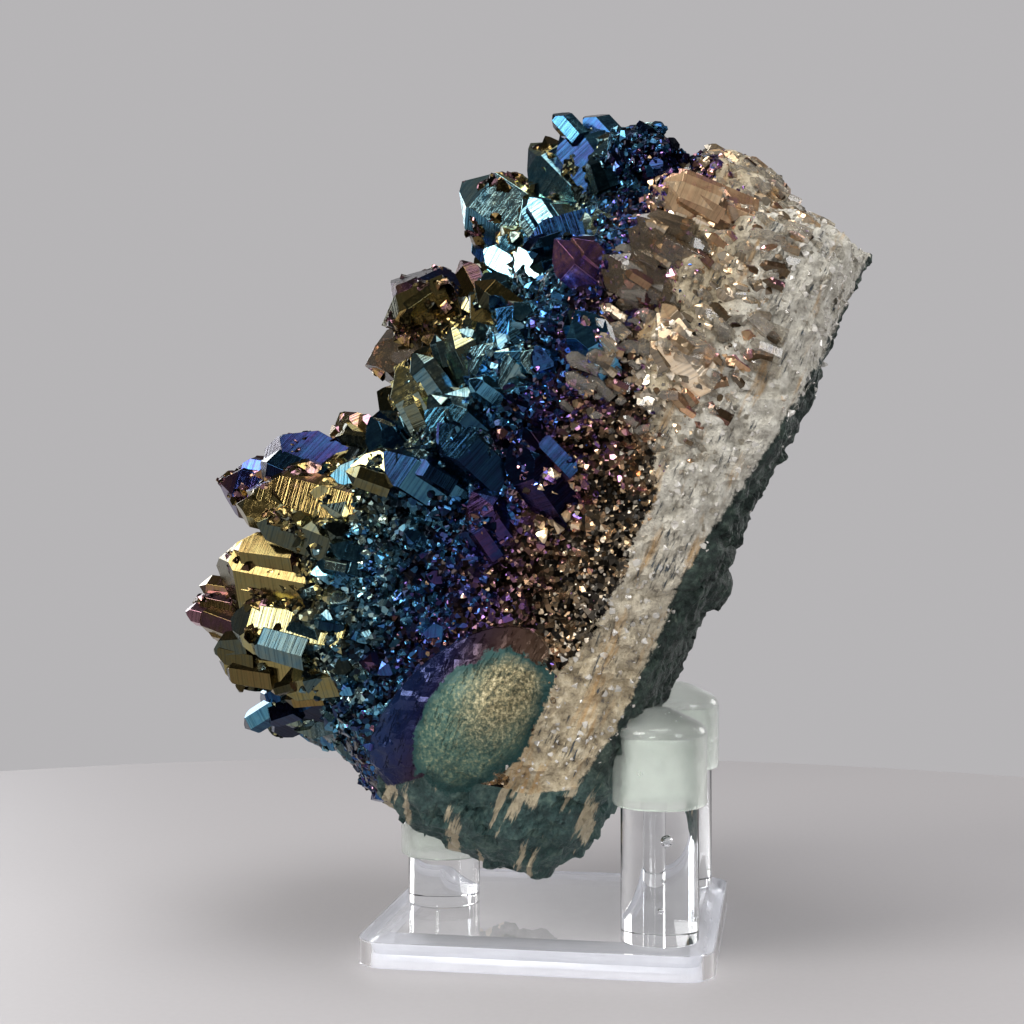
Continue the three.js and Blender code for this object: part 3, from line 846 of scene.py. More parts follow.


# Druse: thousands of small crystals on the skin, built as joined copies of a few shapes.
# An axis takes from the way out of the heart (follow), the skin (face), the growth (along) and
# chance (stray). Rise is how far a crystal stands out, in its own radii

# Bright multiplies a crystal's coat colour: partly random tone and partly painted glints, above 1 for the
# sparkling ones
druse = {
    "midCrystals": {
        "seed": 1, "spacing": 3.4, "radius": (1.0, 2.8), "rise": (0.3, 1.1), "depth": (33, 39),
        "follow": 1.1, "face": 0.6, "along": 0, "stray": 0.3, "bright": (0.15, 1.1),
    },
    "fineDruse": {
        "seed": 2, "spacing": 1.58, "radius": (0.4, 1.2), "rise": (0.4, 1.1), "depth": (26, 34),
        "follow": 0.5, "face": 0.9, "along": 0, "stray": 0.45, "bright": (0.1, 1.3),
    },
    "goldGlitter": {
        "seed": 3, "spacing": 0.87, "radius": (0.2, 0.62), "rise": (0.3, 0.9), "depth": (46, 34),
        "follow": 0.3, "face": 0.9, "along": 0.4, "stray": 0.65, "bright": (0.5, 2.9),
        "spread": 0.095,
    },
    "goldShards": {
        "seed": 6, "spacing": 2.2, "radius": (0.4, 1.3), "rise": (0.6, 1.7), "share": 0.7,
        "follow": 0, "face": 0.55, "along": 1.1, "stray": 0.3, "bright": (0.3, 1.4),
        "coat": (0.18, 0.40),
    },
    "clearShards": {
        "seed": 7, "spacing": 2.4, "radius": (0.5, 1.5), "rise": (0.5, 1.6),
        "follow": 0, "face": 0.5, "along": 1.1, "stray": 0.3, "bright": (1, 1),
    },
    "clearDruse": {
        "seed": 4, "spacing": 1.4, "radius": (0.4, 1.1), "rise": (0.2, 0.8), "depth": (4, 7),
        "follow": 0.5, "face": 0.9, "along": 0.3, "stray": 0.5, "bright": (1, 1),
    },
    "paleChips": {
        "seed": 5, "spacing": 1.15, "radius": (0.3, 0.8), "rise": (0.2, 0.7), "share": 0.6,
        "follow": 0.2, "face": 0.8, "along": 0, "stray": 0.7, "bright": (1, 1),
    },
}
# Where the kinds begin and end: depths and runs between which each fades in or out
zones = {
    "wander": [(2.2, 7, 8), (1.2, 2.5, 9)],  # strength, cell and seed of the ragged borders
    "ovalHem": (0.99, 1.03),  # as shares of an oval's size, like the next two
    "rimMargin": 0.06,
    "patchHem": (1.1, 0.7),
    "rimFade": (1, -1),
    "grainFade": (1, -1),
    "paleFade": (-0.8, 0.8),
    "basaltFade": (-0.5, 0.8),
    "brokenSide": (0.2, 0.5),  # how much a face looks along Y
    "shardsFrom": (9, 13),
    "shardsTo": (35, 29),
    "shardRun": (46, 38),
    "clearRun": (60, 46),
}


# Patches that catch the eye: oval as in the layers, range of coat
patches = {
    "flakePatch": ((32, 4, 5, 7.5, 0), (0.24, 0.44)),
    "pinkComb": ((28, 21, 3.6, 7, 10), (0.37, 0.46)),
    "silverPatch": ((21, 33, 4.5, 8, 0), (0.06, 0.20)),
    "rosePatch": ((27, 58, 4, 9, 0), (0.22, 0.44)),
    "bluePatch": ((40.5, 74, 2.6, 2.6, 0), (0.54, 0.64)),
    "cyanPatch": ((53, 80, 5.5, 7, 0), (0.62, 0.74)),
}
# Their bright range is partly painted glints
patchDruse = {"spacing": 1.1, "radius": (0.35, 1.3), "rise": (0.6, 1.4), "follow": 0, "face": 0.8,
              "along": 0.6, "stray": 0.4, "bright": (0.7, 2.4)}


def smallShapes(count, height, seed):
    # Points of radius 1 as triangles, without the faces that the skin hides
    made = []
    for number in range(count):
        shape = cutPoint(1.0, height, cadBites(seed + number))
        rows, grain, owner = [], [], []
        seen = 0
        for face, normal, spots in zip(shape["faces"], shape["normals"], faceGrain(shape)):
            if normal[2] <= -0.5:
                continue
            for k in range(1, len(face) - 1):
                fan = [0, k, k + 1]
                rows.append([face[c] for c in fan])
                grain.append(spots[fan])
                owner.append(seen)
            seen += 1
        made.append({
            "corners": shape["corners"],
            "rows": np.array(rows),
            "grain": np.array(grain),
            "owner": np.array(owner),
            "height": height,
        })
    return made


def crystalAxes(places, normals, settings, rng):
    outward = places - np.array(layers["heart"])
    outward /= np.linalg.norm(outward, axis=1)[:, None]
    axes = (
        settings["face"] * normals
        + settings["follow"] * outward
        + settings["along"] * growthWay
        + settings["stray"] * rng.normal(size=places.shape)
    )
    return axes / np.linalg.norm(axes, axis=1)[:, None]


def crystalFrames(axis, spin, radius):
    # One matrix for each crystal: its two sides and its axis, times its radius
    helper = np.where(np.abs(axis[:, 2:3]) < 0.9, [[0.0, 0, 1]], [[1.0, 0, 0]])
    sideA = np.cross(helper, axis)
    sideA /= np.linalg.norm(sideA, axis=1)[:, None]
    sideB = np.cross(axis, sideA)
    cos, sin = np.cos(spin)[:, None], np.sin(spin)[:, None]
    first, second = cos * sideA + sin * sideB, cos * sideB - sin * sideA
    return np.stack([first, second, axis], axis=2) * radius[:, None, None]


def growDruse(name, mask, shapes, settings=None):
    settings = settings or druse[name]
    rng = np.random.default_rng(settings["seed"])
    picked = np.flatnonzero(mask > rng.random(len(mask)))
    picked = picked[thinOut(skinPoints[picked], settings["spacing"], settings["seed"])]
    places = skinPoints[picked]
    axes = crystalAxes(places, skinNormals[picked], settings, rng)
    radius = between(settings["radius"], rng.random(len(places)) ** 1.6)
    rise = radius * rng.uniform(*settings["rise"], len(places))
    spins = rng.random(len(places)) * 2 * math.pi
    coats = coatLevel(places) + rng.normal(size=len(places)) * settings.get("spread", 0.04)
    coats = np.minimum(coats, 0.95)
    if "coat" in settings:
        coats = rng.uniform(*settings["coat"], len(places))
    brights = between(settings["bright"], rng.random(len(places)) ** 1.3)
    kinds = rng.integers(0, len(shapes), len(places))
    pile = startPile()
    for kind, shape in enumerate(shapes):
        mine = np.flatnonzero(kinds == kind)
        if not len(mine):
            continue
        frames = crystalFrames(axes[mine], spins[mine], radius[mine])
        start = places[mine] + axes[mine] * (rise[mine] - shape["height"] * radius[mine])[:, None]
        corners = np.einsum("nij,vj->nvi", frames, shape["corners"]) + start[:, None, :]
        count, size = corners.shape[:2]
        rows = shape["rows"][None] + (pile["count"] + size * np.arange(count))[:, None, None]
        pile["count"] += count * size
        pile["corners"].append(corners.reshape(-1, 3))
        pile["faces"].extend(rows.reshape(-1, 3))
        grain = shape["grain"][None] * radius[mine][:, None, None, None]
        pile["grain"].append((grain + 50 * rng.random((count, 1, 1, 1))).reshape(-1, 2))
        pile["coat"].extend(np.repeat(coats[mine], len(shape["rows"])))
        pile["bright"].extend(np.repeat(brights[mine], len(shape["rows"])))
        faceTone = rng.uniform(-1, 1, (count, shape["owner"].max() + 1))
        pile["tone"].extend(faceTone[:, shape["owner"]].ravel())
    piece = buildPile(pile, name)
    print(name, len(places), "crystals,", len(piece.data.polygons), "faces")
    return piece


def growAllDruse():
    shapes, stubs, shards = smallShapes(6, 2.6, 500), smallShapes(4, 1.7, 520), smallShapes(4, 4.6, 540)
    wander = sum(strength * softNoise(skinPoints, cell, seed) for strength, cell, seed in zones["wander"])
    depth = skinDepth + wander
    pastPale = pastEdge(skinPoints, "paleEdge") + wander
    pastBasalt = pastEdge(skinPoints, "basaltEdge") + wander
    beyondRim = smoothStep(*zones["rimFade"], pastEdge(skinPoints, "rimEdge"))
    rim = insideness(skinPoints, layers["rim"]) - zones["rimMargin"] + beyondRim
    oval = np.minimum(insideness(skinPoints, layers["nodule"]), rim)
    free = smoothStep(*zones["ovalHem"], oval) * smoothStep(*zones["basaltFade"], pastBasalt)
    coated = free * smoothStep(*zones["paleFade"], pastPale)
    sideOn = smoothStep(*zones["brokenSide"], np.abs(skinNormals[:, 1]))
    shardBand = free * smoothStep(*zones["shardRun"], skinRun) * sideOn
    for fade in ("shardsFrom", "shardsTo"):
        shardBand = shardBand * smoothStep(*zones[fade], depth)
    grain = free * smoothStep(*zones["grainFade"], pastPale)

    def within(name):
        return smoothStep(*druse[name]["depth"], depth)

    grown = {}
    for seed, (name, (place, tint)) in enumerate(patches.items()):
        inside = smoothStep(*zones["patchHem"], insideness(skinPoints, place)) * (oval > 1)
        settings = {**patchDruse, "seed": 30 + seed, "coat": tint}
        grown[name] = growDruse(name, inside, stubs, settings)
    clearBand = grain * within("clearDruse") * smoothStep(*zones["clearRun"], skinRun)
    for name, mask, kinds in [
        ("midCrystals", coated * within("midCrystals"), shapes),
        ("fineDruse", coated * within("fineDruse"), stubs),
        ("goldGlitter", coated * sideOn * within("goldGlitter"), stubs),
        ("goldShards", shardBand * druse["goldShards"]["share"], shards),
        ("clearShards", shardBand, shards),
        ("clearDruse", clearBand, stubs),
        ("paleChips", grain * druse["paleChips"]["share"], stubs),
    ]:
        grown[name] = growDruse(name, mask, kinds)
    return grown


drusePieces = growAllDruse()


# Coat: interference colours of a thin metal film, from the rock outwards

coat = {
    "colours": [
        (0.00, (0.62, 0.58, 0.50)),
        (0.18, (0.68, 0.58, 0.44)),
        (0.28, (0.66, 0.46, 0.26)),
        (0.35, (0.56, 0.32, 0.18)),
        (0.40, (0.46, 0.22, 0.26)),
        (0.45, (0.22, 0.11, 0.34)),
        (0.50, (0.06, 0.07, 0.29)),
        (0.58, (0.04, 0.17, 0.40)),
        (0.66, (0.13, 0.39, 0.55)),
        (0.73, (0.33, 0.50, 0.50)),
        (0.79, (0.38, 0.43, 0.30)),
        (0.86, (0.46, 0.39, 0.15)),
        (0.95, (0.48, 0.31, 0.11)),
        (1.00, (0.44, 0.23, 0.28)),
    ],
    "faceShift": 0.05,  # how much one face differs from the next
    "turnShift": 0.05,  # how much the way a face looks changes its colour
}


def makeCoatGroup():
    group, given, gives = newGroup(
        "auraCoat",
        [
            ("Coat", "value", 0.5),
            ("Tone", "value", 0.0),
            ("Bright", "value", 1.0),
            ("Lines", "value", 0.5),
            ("Point", "vector", None),
        ],
        [("Colour", "colour"), ("Metal", "value"), ("Roughness", "value")],
    )
    soft = noiseValue(group, given["Point"], 260, 3)
    fine = noiseValue(group, given["Point"], 1100, 2)
    normal = group.nodes.new("ShaderNodeNewGeometry").outputs["True Normal"]
    way = vectorNode(group, "DOT_PRODUCT", {0: normal, 1: (0.55, 0.25, 0.8)})["Value"]
    level = mathNode(group, "MULTIPLY_ADD", given["Tone"], coat["faceShift"], given["Coat"])
    level = mathNode(group, "MULTIPLY_ADD", way, coat["turnShift"], level)
    for value, amount in ((soft, 0.14), (fine, 0.07), (given["Lines"], 0.10)):
        level = mathNode(group, "MULTIPLY_ADD", value, amount, level)
        level = mathNode(group, "SUBTRACT", level, amount / 2)
    colour = rampNode(group, level, coat["colours"])
    half = mathNode(group, "MULTIPLY_ADD", given["Tone"], 0.5, 0.5)
    dark = rampNode(group, half, [(0.0, 0.2), (0.45, 0.7), (1.0, 1.15)])
    lined = rampNode(group, given["Lines"], [(0.34, 0.55), (0.52, 1.0)])
    # Painted highlight and shade: the Bright number lightens or darkens the coat colour, up to nearly
    # three times, on top of each face's random tone and its growth lines
    shaded = mathNode(group, "MULTIPLY", mathNode(group, "MULTIPLY", dark, lined), given["Bright"])
    metal = rampNode(group, level, [(0.10, 0.30), (0.30, 0.60), (0.46, 0.95)])
    rough = rampNode(group, fine, [(0.35, 0.05), (0.7, 0.20)])
    colour = mixNode(group, 1.0, colour, shaded, "MULTIPLY")
    plug(group, gives, {"Colour": colour, "Metal": metal, "Roughness": rough})
    return group


def makeGrainGroup():
    # Fine growth lines across a crystal's faces
    group, given, gives = newGroup(
        "growthLines",
        [("Grain", "vector", None), ("Fineness", "value", 3.0)],
        [("Height", "value")],
    )
    scaled = addNode(
        group, "ShaderNodeMapping", {"Vector": given["Grain"], "Scale": (0.012, 1.0, 1.0)}
    ).outputs["Vector"]
    plug(group, gives, {"Height": noiseValue(group, scaled, given["Fineness"], 3.0, 0.7)})
    return group


def makeChipGroup():
    # Tiny broken faces: every cell has its own slope and its own number from 0 to 1
    group, given, gives = newGroup(
        "tinyFacets",
        [("Point", "vector", None), ("Fineness", "value", 1400.0), ("Slope", "value", 0.9)],
        [("Normal", "vector"), ("Share", "value")],
    )
    cells = addNode(
        group,
        "ShaderNodeTexVoronoi",
        {"Vector": given["Point"], "Scale": given["Fineness"]},
        feature="F1",
    )
    colour = cells.outputs["Color"]
    away = vectorNode(group, "SUBTRACT", {0: colour, 1: (0.5, 0.5, 0.5)})[0]
    tilt = vectorNode(group, "SCALE", {0: away, "Scale": given["Slope"]})[0]
    normal = group.nodes.new("ShaderNodeNewGeometry").outputs["Normal"]
    total = vectorNode(group, "ADD", {0: normal, 1: tilt})[0]
    unit = vectorNode(group, "NORMALIZE", {0: total})[0]
    share = addNode(group, "ShaderNodeSeparateXYZ", {0: colour}).outputs["X"]
    plug(group, gives, {"Normal": unit, "Share": share})
    return group


chipGroup = makeChipGroup()
coatGroup = makeCoatGroup()
grainGroup = makeGrainGroup()


def makeCoatMaterial(name, lineDepth, fineness, chips=0.0):
    material, tree, shader = newMaterial(name)
    point = objectPoint(tree)
    grain = addNode(tree, "ShaderNodeUVMap", uv_map="grain").outputs["UV"]
    lines = useGroup(tree, grainGroup, {"Grain": grain, "Fineness": fineness})["Height"]
    values = {title: attributeValue(tree, title.lower()) for title in ("Coat", "Tone", "Bright")}
    made = useGroup(tree, coatGroup, {**values, "Lines": lines, "Point": point})
    bump = bumpNode(tree, lines, 0.6, lineDepth)
    if chips:
        facets = useGroup(tree, chipGroup, {"Point": point, "Fineness": 1500.0, "Slope": chips})
        tree.links.new(facets["Normal"], bump.inputs["Normal"])
    plug(tree, shader.inputs, {
        "Base Color": made["Colour"],
        "Metallic": made["Metal"],
        "Roughness": made["Roughness"],
        "Normal": bump.outputs["Normal"],
    })
    return material


coatedLarge = makeCoatMaterial("auraQuartzLarge", 0.07, 2.2)
coatedSmall = makeCoatMaterial("auraQuartzSmall", 0.03, 3.0, 0.2)


def makeQuartzMaterial(name, colour, stain, through):
    # Bare quartz: smoky or milky, with iron stain in places
    material, tree, shader = newMaterial(name)
    point = objectPoint(tree)
    cloud = noiseValue(tree, point, 220, 4)
    tint = rampNode(tree, cloud, [(0.42, colour), (0.60, [c * 0.8 for c in colour]), (0.70, stain)])
    plug(tree, shader.inputs, {"Transmission Weight": through, "IOR": 1.54})
    fine = noiseValue(tree, point, 900, 3)
    rough = rampNode(tree, fine, [(0.4, 0.02), (0.7, 0.12)])
    grain = addNode(tree, "ShaderNodeUVMap", uv_map="grain").outputs["UV"]
    lines = useGroup(tree, grainGroup, {"Grain": grain, "Fineness": 1.6})
    bump = bumpNode(tree, lines["Height"], 0.4, 0.05).outputs["Normal"]
    plug(tree, shader.inputs, {"Base Color": tint, "Roughness": rough, "Normal": bump})
    return material


smokyQuartz = makeQuartzMaterial("smokyQuartz", (0.50, 0.40, 0.28), (0.52, 0.30, 0.12), 0.9)
clearQuartz = makeQuartzMaterial("clearQuartz", (0.80, 0.74, 0.63), (0.72, 0.50, 0.26), 0.85)
milkyQuartz = makeQuartzMaterial("milkyQuartz", (0.74, 0.71, 0.65), (0.62, 0.45, 0.28), 0.3)


# Rock of the skin: basalt, pale chalcedony, the green nodule, the agate rim and the coated matrix

rock = {
    "basalt": [(0.32, (0.004, 0.009, 0.008)), (0.48, (0.016, 0.032, 0.026)),
               (0.60, (0.045, 0.075, 0.058)), (0.74, (0.13, 0.16, 0.12))],
    "foot": [(0.30, (0.008, 0.025, 0.026)), (0.5, (0.03, 0.075, 0.070)), (0.7, (0.10, 0.16, 0.13))],
    "streak": (0.48, 0.41, 0.28),
    "white": [(0.30, (0.25, 0.23, 0.19)), (0.42, (0.48, 0.45, 0.38)), (0.54, (0.65, 0.62, 0.53)),
              (0.70, (0.84, 0.81, 0.72))],
    "cream": [(0.30, (0.10, 0.09, 0.08)), (0.42, (0.38, 0.31, 0.20)), (0.55, (0.58, 0.49, 0.33)),
              (0.70, (0.74, 0.67, 0.52))],
    "stain": (0.50, 0.31, 0.13),
    "shadedPit": (0.06, 0.075, 0.085),
    "nodule": [(0.30, (0.015, 0.055, 0.050)), (0.48, (0.06, 0.13, 0.10)), (0.60, (0.17, 0.22, 0.14)),
               (0.72, (0.38, 0.36, 0.22))],
    "noduleGold": [(0.34, (0.03, 0.045, 0.025)), (0.46, (0.16, 0.15, 0.08)),
                   (0.56, (0.40, 0.34, 0.18)), (0.68, (0.78, 0.70, 0.46))],
    "noduleHem": (0.012, 0.062, 0.058),
    # by depth from 16 to 42 mm
    "rim": [(0.05, (0.10, 0.06, 0.035)), (0.35, (0.06, 0.030, 0.022)), (0.52, (0.028, 0.013, 0.028)),
            (0.66, (0.008, 0.010, 0.055)), (0.85, (0.007, 0.022, 0.085)), (1.0, (0.05, 0.075, 0.11))],
}


def makeRockMaterial():
    material, tree, shader = newMaterial("layeredRock")
    point = objectPoint(tree)
    titles = ("coat", "tone", "depth", "run", "basaltEdge", "paleEdge", "quartzEdge", "rimEdge",
              "nodule", "rim", "golden")
    layer = {title: attributeValue(tree, title) for title in titles}
    big = noiseValue(tree, point, 130, 6, 0.65)
    mid = noiseValue(tree, point, 480, 6, 0.72)
    tiny = noiseValue(tree, point, 1700, 4, 0.7)
    wobble = mathNode(tree, "MULTIPLY_ADD", mid, 4.0, mathNode(tree, "MULTIPLY_ADD", big, 8.0, -6.0))

    def past(title, share, edge, soft):
        return above(tree, mathNode(tree, "MULTIPLY_ADD", wobble, share, layer[title]), edge, soft)

    stretched = addNode(
        tree,
        "ShaderNodeCombineXYZ",
        {"X": layer["depth"], "Y": mathNode(tree, "MULTIPLY", layer["run"], 0.16)},
    ).outputs[0]
    streak = noiseValue(tree, stretched, 0.34, 7, 0.6)
    shadedPit = mathNode(tree, "MULTIPLY_ADD", big, 0.55, noiseValue(tree, stretched, 1.7, 4, 0.65))

    warm = mathNode(
        tree, "MAXIMUM", above(tree, layer["run"], 66, 30), past("paleEdge", 0.8, 2, 6)
    )
    pale = mixNode(
        tree,
        warm,
        rampNode(tree, mid, rock["white"]),
        rampNode(tree, mid, rock["cream"]),
    )
    stained = mathNode(tree, "MULTIPLY", above(tree, streak, 0.60, 0.10), 0.8)
    pale = mixNode(tree, stained, pale, rock["stain"])
    # Painted shade: the deepest of the small pits that the bump sinks below are painted near black
    pale = mixNode(tree, above(tree, shadedPit, 0.93, 0.06), pale, rock["shadedPit"])

    foot = mixNode(
        tree, above(tree, streak, 0.57, 0.03), rampNode(tree, mid, rock["foot"]), rock["streak"]
    )
    dark = mixNode(tree, above(tree, layer["run"], 97, 6), rampNode(tree, mid, rock["basalt"]), foot)

    green = mixNode(
        tree,
        above(tree, layer["golden"], 0.95, -0.9),
        rampNode(tree, tiny, rock["nodule"]),
        rampNode(tree, tiny, rock["noduleGold"]),
    )
    green = mixNode(tree, past("nodule", 0.05, 0.86, 0.16), green, rock["noduleHem"])
    rimPlace = mathNode(tree, "MULTIPLY_ADD", layer["depth"], 1 / 26, -16 / 26)
    agate = rampNode(tree, mathNode(tree, "MULTIPLY_ADD", wobble, 0.02, rimPlace), rock["rim"])

    facets = useGroup(tree, chipGroup, {"Point": point, "Fineness": 1250.0, "Slope": 1.3})
    share = facets["Share"]
    # Painted glints and painted shade: most tiny cells of the coated rock are darkened nearly to black,
    # and a few are brightened past their colour
    matrix = useGroup(
        tree,
        coatGroup,
        {
            "Coat": mathNode(tree, "MULTIPLY_ADD", share, 0.2, mathNode(tree, "ADD", layer["coat"], -0.1)),
            "Tone": layer["tone"],
            "Bright": rampNode(tree, share, [(0.3, 0.03), (0.7, 0.35), (0.95, 1.2)]),
            "Point": point,
        },
    )
    bare = mathNode(tree, "SUBTRACT", 1.0, past("quartzEdge", 1.0, 0, 0.5))
    basalt = mathNode(tree, "SUBTRACT", 1.0, past("basaltEdge", 0.45, 0, 0.4))
    pastRim = past("rim", 0.012, 1.0, 0.02)
    rim = mathNode(tree, "SUBTRACT", past("rimEdge", 0.3, 0, 0.4), pastRim, clamp=True)
    nodule = mathNode(tree, "SUBTRACT", 1.0, past("nodule", 0.085, 1.0, 0.03))
    colour = matrix["Colour"]
    for mask, paint in ((bare, pale), (basalt, dark), (rim, agate), (nodule, green)):
        colour = mixNode(tree, mask, colour, paint)

    stone = mathNode(tree, "MAXIMUM", mathNode(tree, "MAXIMUM", bare, basalt), nodule)
    plain = mathNode(tree, "MAXIMUM", stone, rim)
    metal = mixNode(tree, plain, 0.85, mathNode(tree, "MULTIPLY", rim, 0.6))
    rough = mixNode(tree, stone, 0.2, rampNode(tree, tiny, [(0.35, 0.35), (0.65, 0.8)]))
    height = mathNode(tree, "MULTIPLY_ADD", tiny, 0.45, mid)
    height = mathNode(tree, "MULTIPLY", height, mathNode(tree, "MULTIPLY_ADD", rim, -0.93, 1.0))
    height = mathNode(tree, "MULTIPLY_ADD", above(tree, shadedPit, 0.90, 0.08), -0.4, height)
    bump = bumpNode(tree, height, 1.0, 1.2).outputs["Normal"]
    plug(tree, shader.inputs, {
        "Base Color": colour,
        "Metallic": mixNode(tree, nodule, metal, 0.25),
        "Roughness": rough,
        "Normal": mixNode(tree, plain, facets["Normal"], bump),
    })
    return material


rockMaterial = makeRockMaterial()

finishPiece(stoneSkin, "stoneSkin", rockMaterial, ("quartz_cluster",))
for piece in [*bigPieces, smokyPiece]:
    applyModifier(piece, "BEVEL", width=crystals["wornEdge"] * mm, segments=1)
    material = smokyQuartz if piece == smokyPiece else coatedLarge
    finishPiece(piece, piece.name, material)
druseFinish = {"clearShards": clearQuartz, "clearDruse": clearQuartz, "paleChips": milkyQuartz}
for name, piece in drusePieces.items():
    finishPiece(piece, name, druseFinish.get(name, coatedSmall))


# Stand: a clear plate, three clear pegs and their soft caps

stand = {
    "plateSide": 58, "plateThick": 5.2, "plateCorner": 5, "plateEdge": 0.55, "plateHem": 0.15,
    "pegRadius": 6.35, "pegFoot": 0.1, "pegBevel": 0.35,
    "capRadius": 7.65, "capSkirt": 11.2, "capDome": 4.6, "capLip": 0.6,
    # the cap's shoulder: how far in and up its curve goes, how high it starts, where it ends
    "capShoulder": (3.4, 2.6), "shoulderLift": 0.2, "shoulderTurn": 62,
    # the top of the dome: radius, and how far it lies under the highest point
    "capCrown": [(2.2, 0.35), (1.0, 0.06), (0, 0)],
    "fitGap": 0.05,
    "pegs": {"front_peg": (-20, 0, 24.8), "back_peg_right": (20, -20.5, 38.1),
             "back_peg_left": (20, 20.5, 38.1)},
    # air bubbles in the near peg: offset across, height, radius
    "bubbles": [(0.9, 21.4, 0.75), (0.2, 10.2, 0.4), (0.5, 15.0, 0.25)],
}


def makeClear(name, colour, ior, roughness, through=1.0):
    material, tree, shader = newMaterial(name)
    plug(tree, shader.inputs, {"Transmission Weight": through, "IOR": ior})
    point = objectPoint(tree)
    haze = noiseValue(tree, point, 300, 3)
    tint = rampNode(tree, haze, [(0.35, [c * 0.96 for c in colour]), (0.65, colour)])
    rough = rampNode(tree, haze, [(0.4, roughness), (0.75, roughness * 1.8 + 0.004)])
    plug(tree, shader.inputs, {"Base Color": tint, "Roughness": rough})
    return material, tree, shader, point


def makeSoftMaterial():
    look = ((0.92, 0.97, 0.91), 1.41, 0.16, 0.88)
    material, tree, shader, point = makeClear("frostedCap", *look)
    bump = bumpNode(tree, noiseValue(tree, point, 900, 5), 0.5, 0.25).outputs["Normal"]
    plug(tree, shader.inputs, {"Coat Weight": 0.35, "Normal": bump})
    return material


clearMaterial = makeClear("clearAcrylic", (0.97, 0.98, 0.99), 1.49, 0.01)[0]
softMaterial = makeSoftMaterial()
# Painted sheen: the plate's rounded edges look paler than its faces, so they get a paler, less clear
# finish
edgeMaterial = makeClear("paleEdgeSheen", (0.78, 0.79, 0.84), 1.49, 0.12, 0.6)[0]


def makePlate():
    deselectAll()
    bpy.ops.mesh.primitive_cube_add(size=1, location=(0, 0, stand["plateThick"] / 2 * mm))
    plate = bpy.context.object
    plate.scale = (stand["plateSide"] * mm, stand["plateSide"] * mm, stand["plateThick"] * mm)
    bpy.ops.object.transform_apply(location=True, rotation=True, scale=True)
    bpy.ops.object.mode_set(mode="EDIT")
    bpy.ops.mesh.select_all(action="DESELECT")
    bpy.ops.object.mode_set(mode="OBJECT")
    for edge in plate.data.edges:
        first, second = (plate.data.vertices[v].co for v in edge.vertices)
        edge.select = abs(first.z - second.z) > mm
    bpy.ops.object.mode_set(mode="EDIT")
    bpy.ops.mesh.bevel(offset=stand["plateCorner"] * mm, segments=10, affect="EDGES")
    bpy.ops.object.mode_set(mode="OBJECT")
    rounded = {"width": stand["plateEdge"] * mm, "segments": 5}
    applyModifier(plate, "BEVEL", **rounded, limit_method="ANGLE", angle_limit=math.radians(60))
    for face in plate.data.polygons:
        face.select = abs(face.normal.z) > 0.999 or face.area > 60 * mm * mm
    bpy.ops.object.mode_set(mode="EDIT")
    # A narrow hem keeps the big faces flat
    bpy.ops.mesh.inset(thickness=stand["plateHem"] * mm, use_individual=True)
    bpy.ops.object.mode_set(mode="OBJECT")
    bpy.ops.object.shade_smooth_by_angle(angle=math.radians(30))
    return plate


def turned(profile, x, y, steps=64):
    # Turns a line of radii and heights about a vertical axis
    mesh = bpy.data.meshes.new("profile")
    corners = [((x + r) * mm, y * mm, z * mm) for r, z in profile]
    mesh.from_pydata(corners, [(k, k + 1) for k in range(len(corners) - 1)], [])
    piece = bpy.data.objects.new("profile", mesh)
    bpy.context.scene.collection.objects.link(piece)
    makeActive(piece)
    bpy.ops.object.mode_set(mode="EDIT")
    bpy.ops.mesh.select_all(action="SELECT")
    bpy.ops.mesh.spin(
        steps=steps, angle=2 * math.pi, center=(x * mm, y * mm, 0), axis=(0, 0, 1)
    )
    bpy.ops.mesh.select_all(action="SELECT")
    bpy.ops.mesh.remove_doubles(threshold=0.01 * mm)
    bpy.ops.mesh.normals_make_consistent(inside=False)
    bpy.ops.object.mode_set(mode="OBJECT")
    bpy.ops.object.shade_smooth_by_angle(angle=math.radians(35))
    return piece


def arc(centre, radii, start, stop, steps):
    points = []
    for k in range(steps + 1):
        angle = math.radians(start + (stop - start) * k / steps)
        points.append((centre[0] + radii[0] * math.cos(angle), centre[1] + radii[1] * math.sin(angle)))
    return points


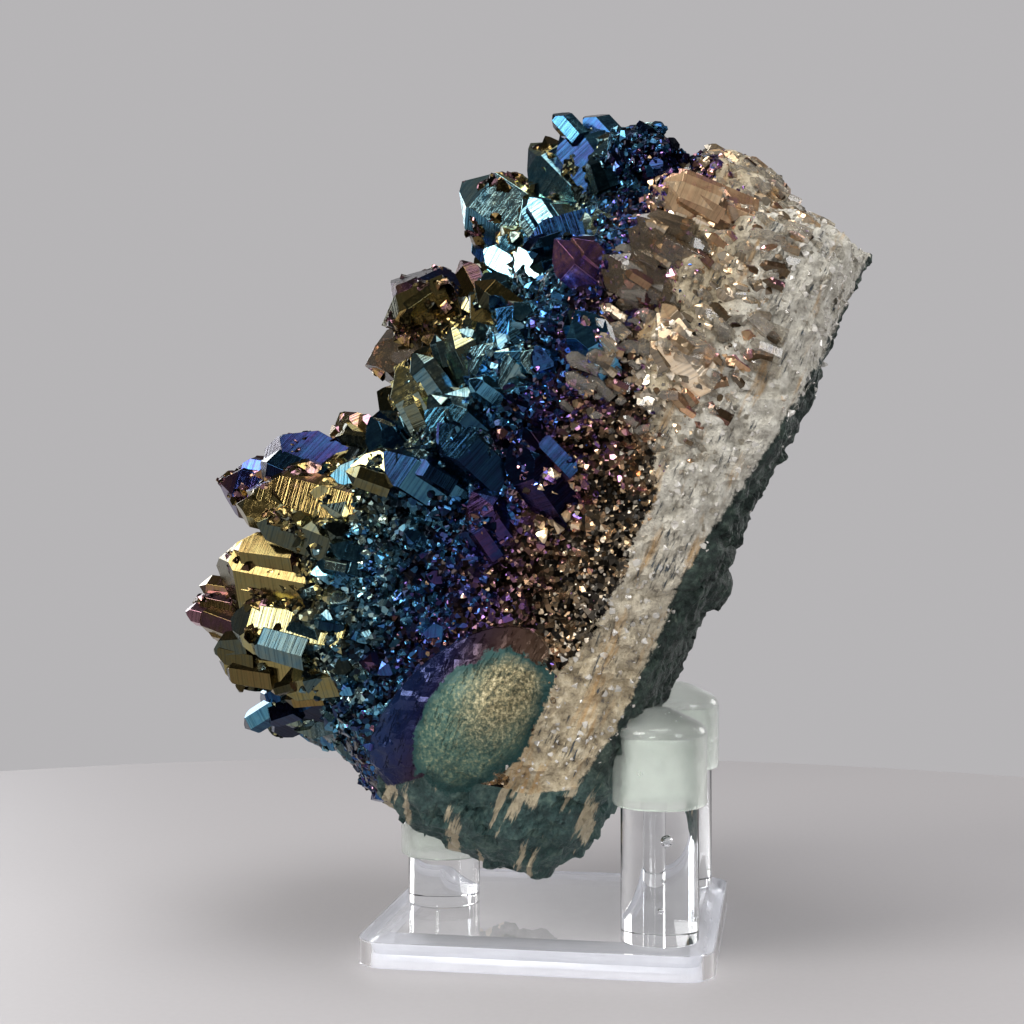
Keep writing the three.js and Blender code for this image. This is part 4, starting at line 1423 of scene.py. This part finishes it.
def addBubbles(peg, x, y):
    # Small hollows with their faces turned inwards, joined into the peg
    for across, height, size in stand["bubbles"]:
        deselectAll()
        bpy.ops.mesh.primitive_uv_sphere_add(
            segments=20, ring_count=12, radius=size * mm,
            location=((x + across) * mm, (y - 1) * mm, height * mm), scale=(1, 1, 1.25),
        )
        bpy.ops.object.mode_set(mode="EDIT")
        bpy.ops.mesh.flip_normals()
        bpy.ops.object.mode_set(mode="OBJECT")
        bpy.ops.object.shade_smooth()
        peg.select_set(True)
        bpy.context.view_layer.objects.active = peg
        bpy.ops.object.join()


def makePegs():
    radius, gap = stand["pegRadius"], stand["fitGap"]
    for name, (x, y, top) in stand["pegs"].items():
        foot, worn, bevel = stand["plateThick"] + gap, stand["pegFoot"], stand["pegBevel"]
        profile = [(0, foot), (radius - worn, foot), (radius, foot + worn)]
        profile += arc((radius - bevel, top - bevel), (bevel, bevel), 0, 90, 3) + [(0, top)]
        peg = turned(profile, x, y)
        if name == "back_peg_right":
            addBubbles(peg, x, y)
        finishPiece(peg, name + "_rod", clearMaterial, (name,))
        peg.visible_shadow = False  # clear plastic casts next to no shadow
        outer, skirt = stand["capRadius"], top - stand["capSkirt"]
        lip, bore = stand["capLip"], radius + gap
        curve, shoulder = stand["capShoulder"], top + stand["shoulderLift"]
        profile = [(0, top + gap), (bore, top + gap), (bore, skirt), (outer - lip, skirt)]
        profile += arc((outer - lip, skirt + lip), (lip, lip), -60, 0, 3)
        profile += arc((outer - curve[0], shoulder), curve, 0, stand["shoulderTurn"], 6)
        profile += [(r, top + stand["capDome"] - under) for r, under in stand["capCrown"]]
        cap = turned(profile, x, y)
        finishPiece(cap, name + "_soft_cap", softMaterial, (name + "_cap",))
        cap.visible_shadow = False


plate = finishPiece(makePlate(), "clear_plate", clearMaterial, ("stand_base",))
plate.data.materials.append(edgeMaterial)
for face in plate.data.polygons:
    sloping = 0.01 < abs(face.normal.z) < 0.999
    face.material_index = 1 if sloping else 0
plate.visible_shadow = False
makePegs()
print("stand in place")
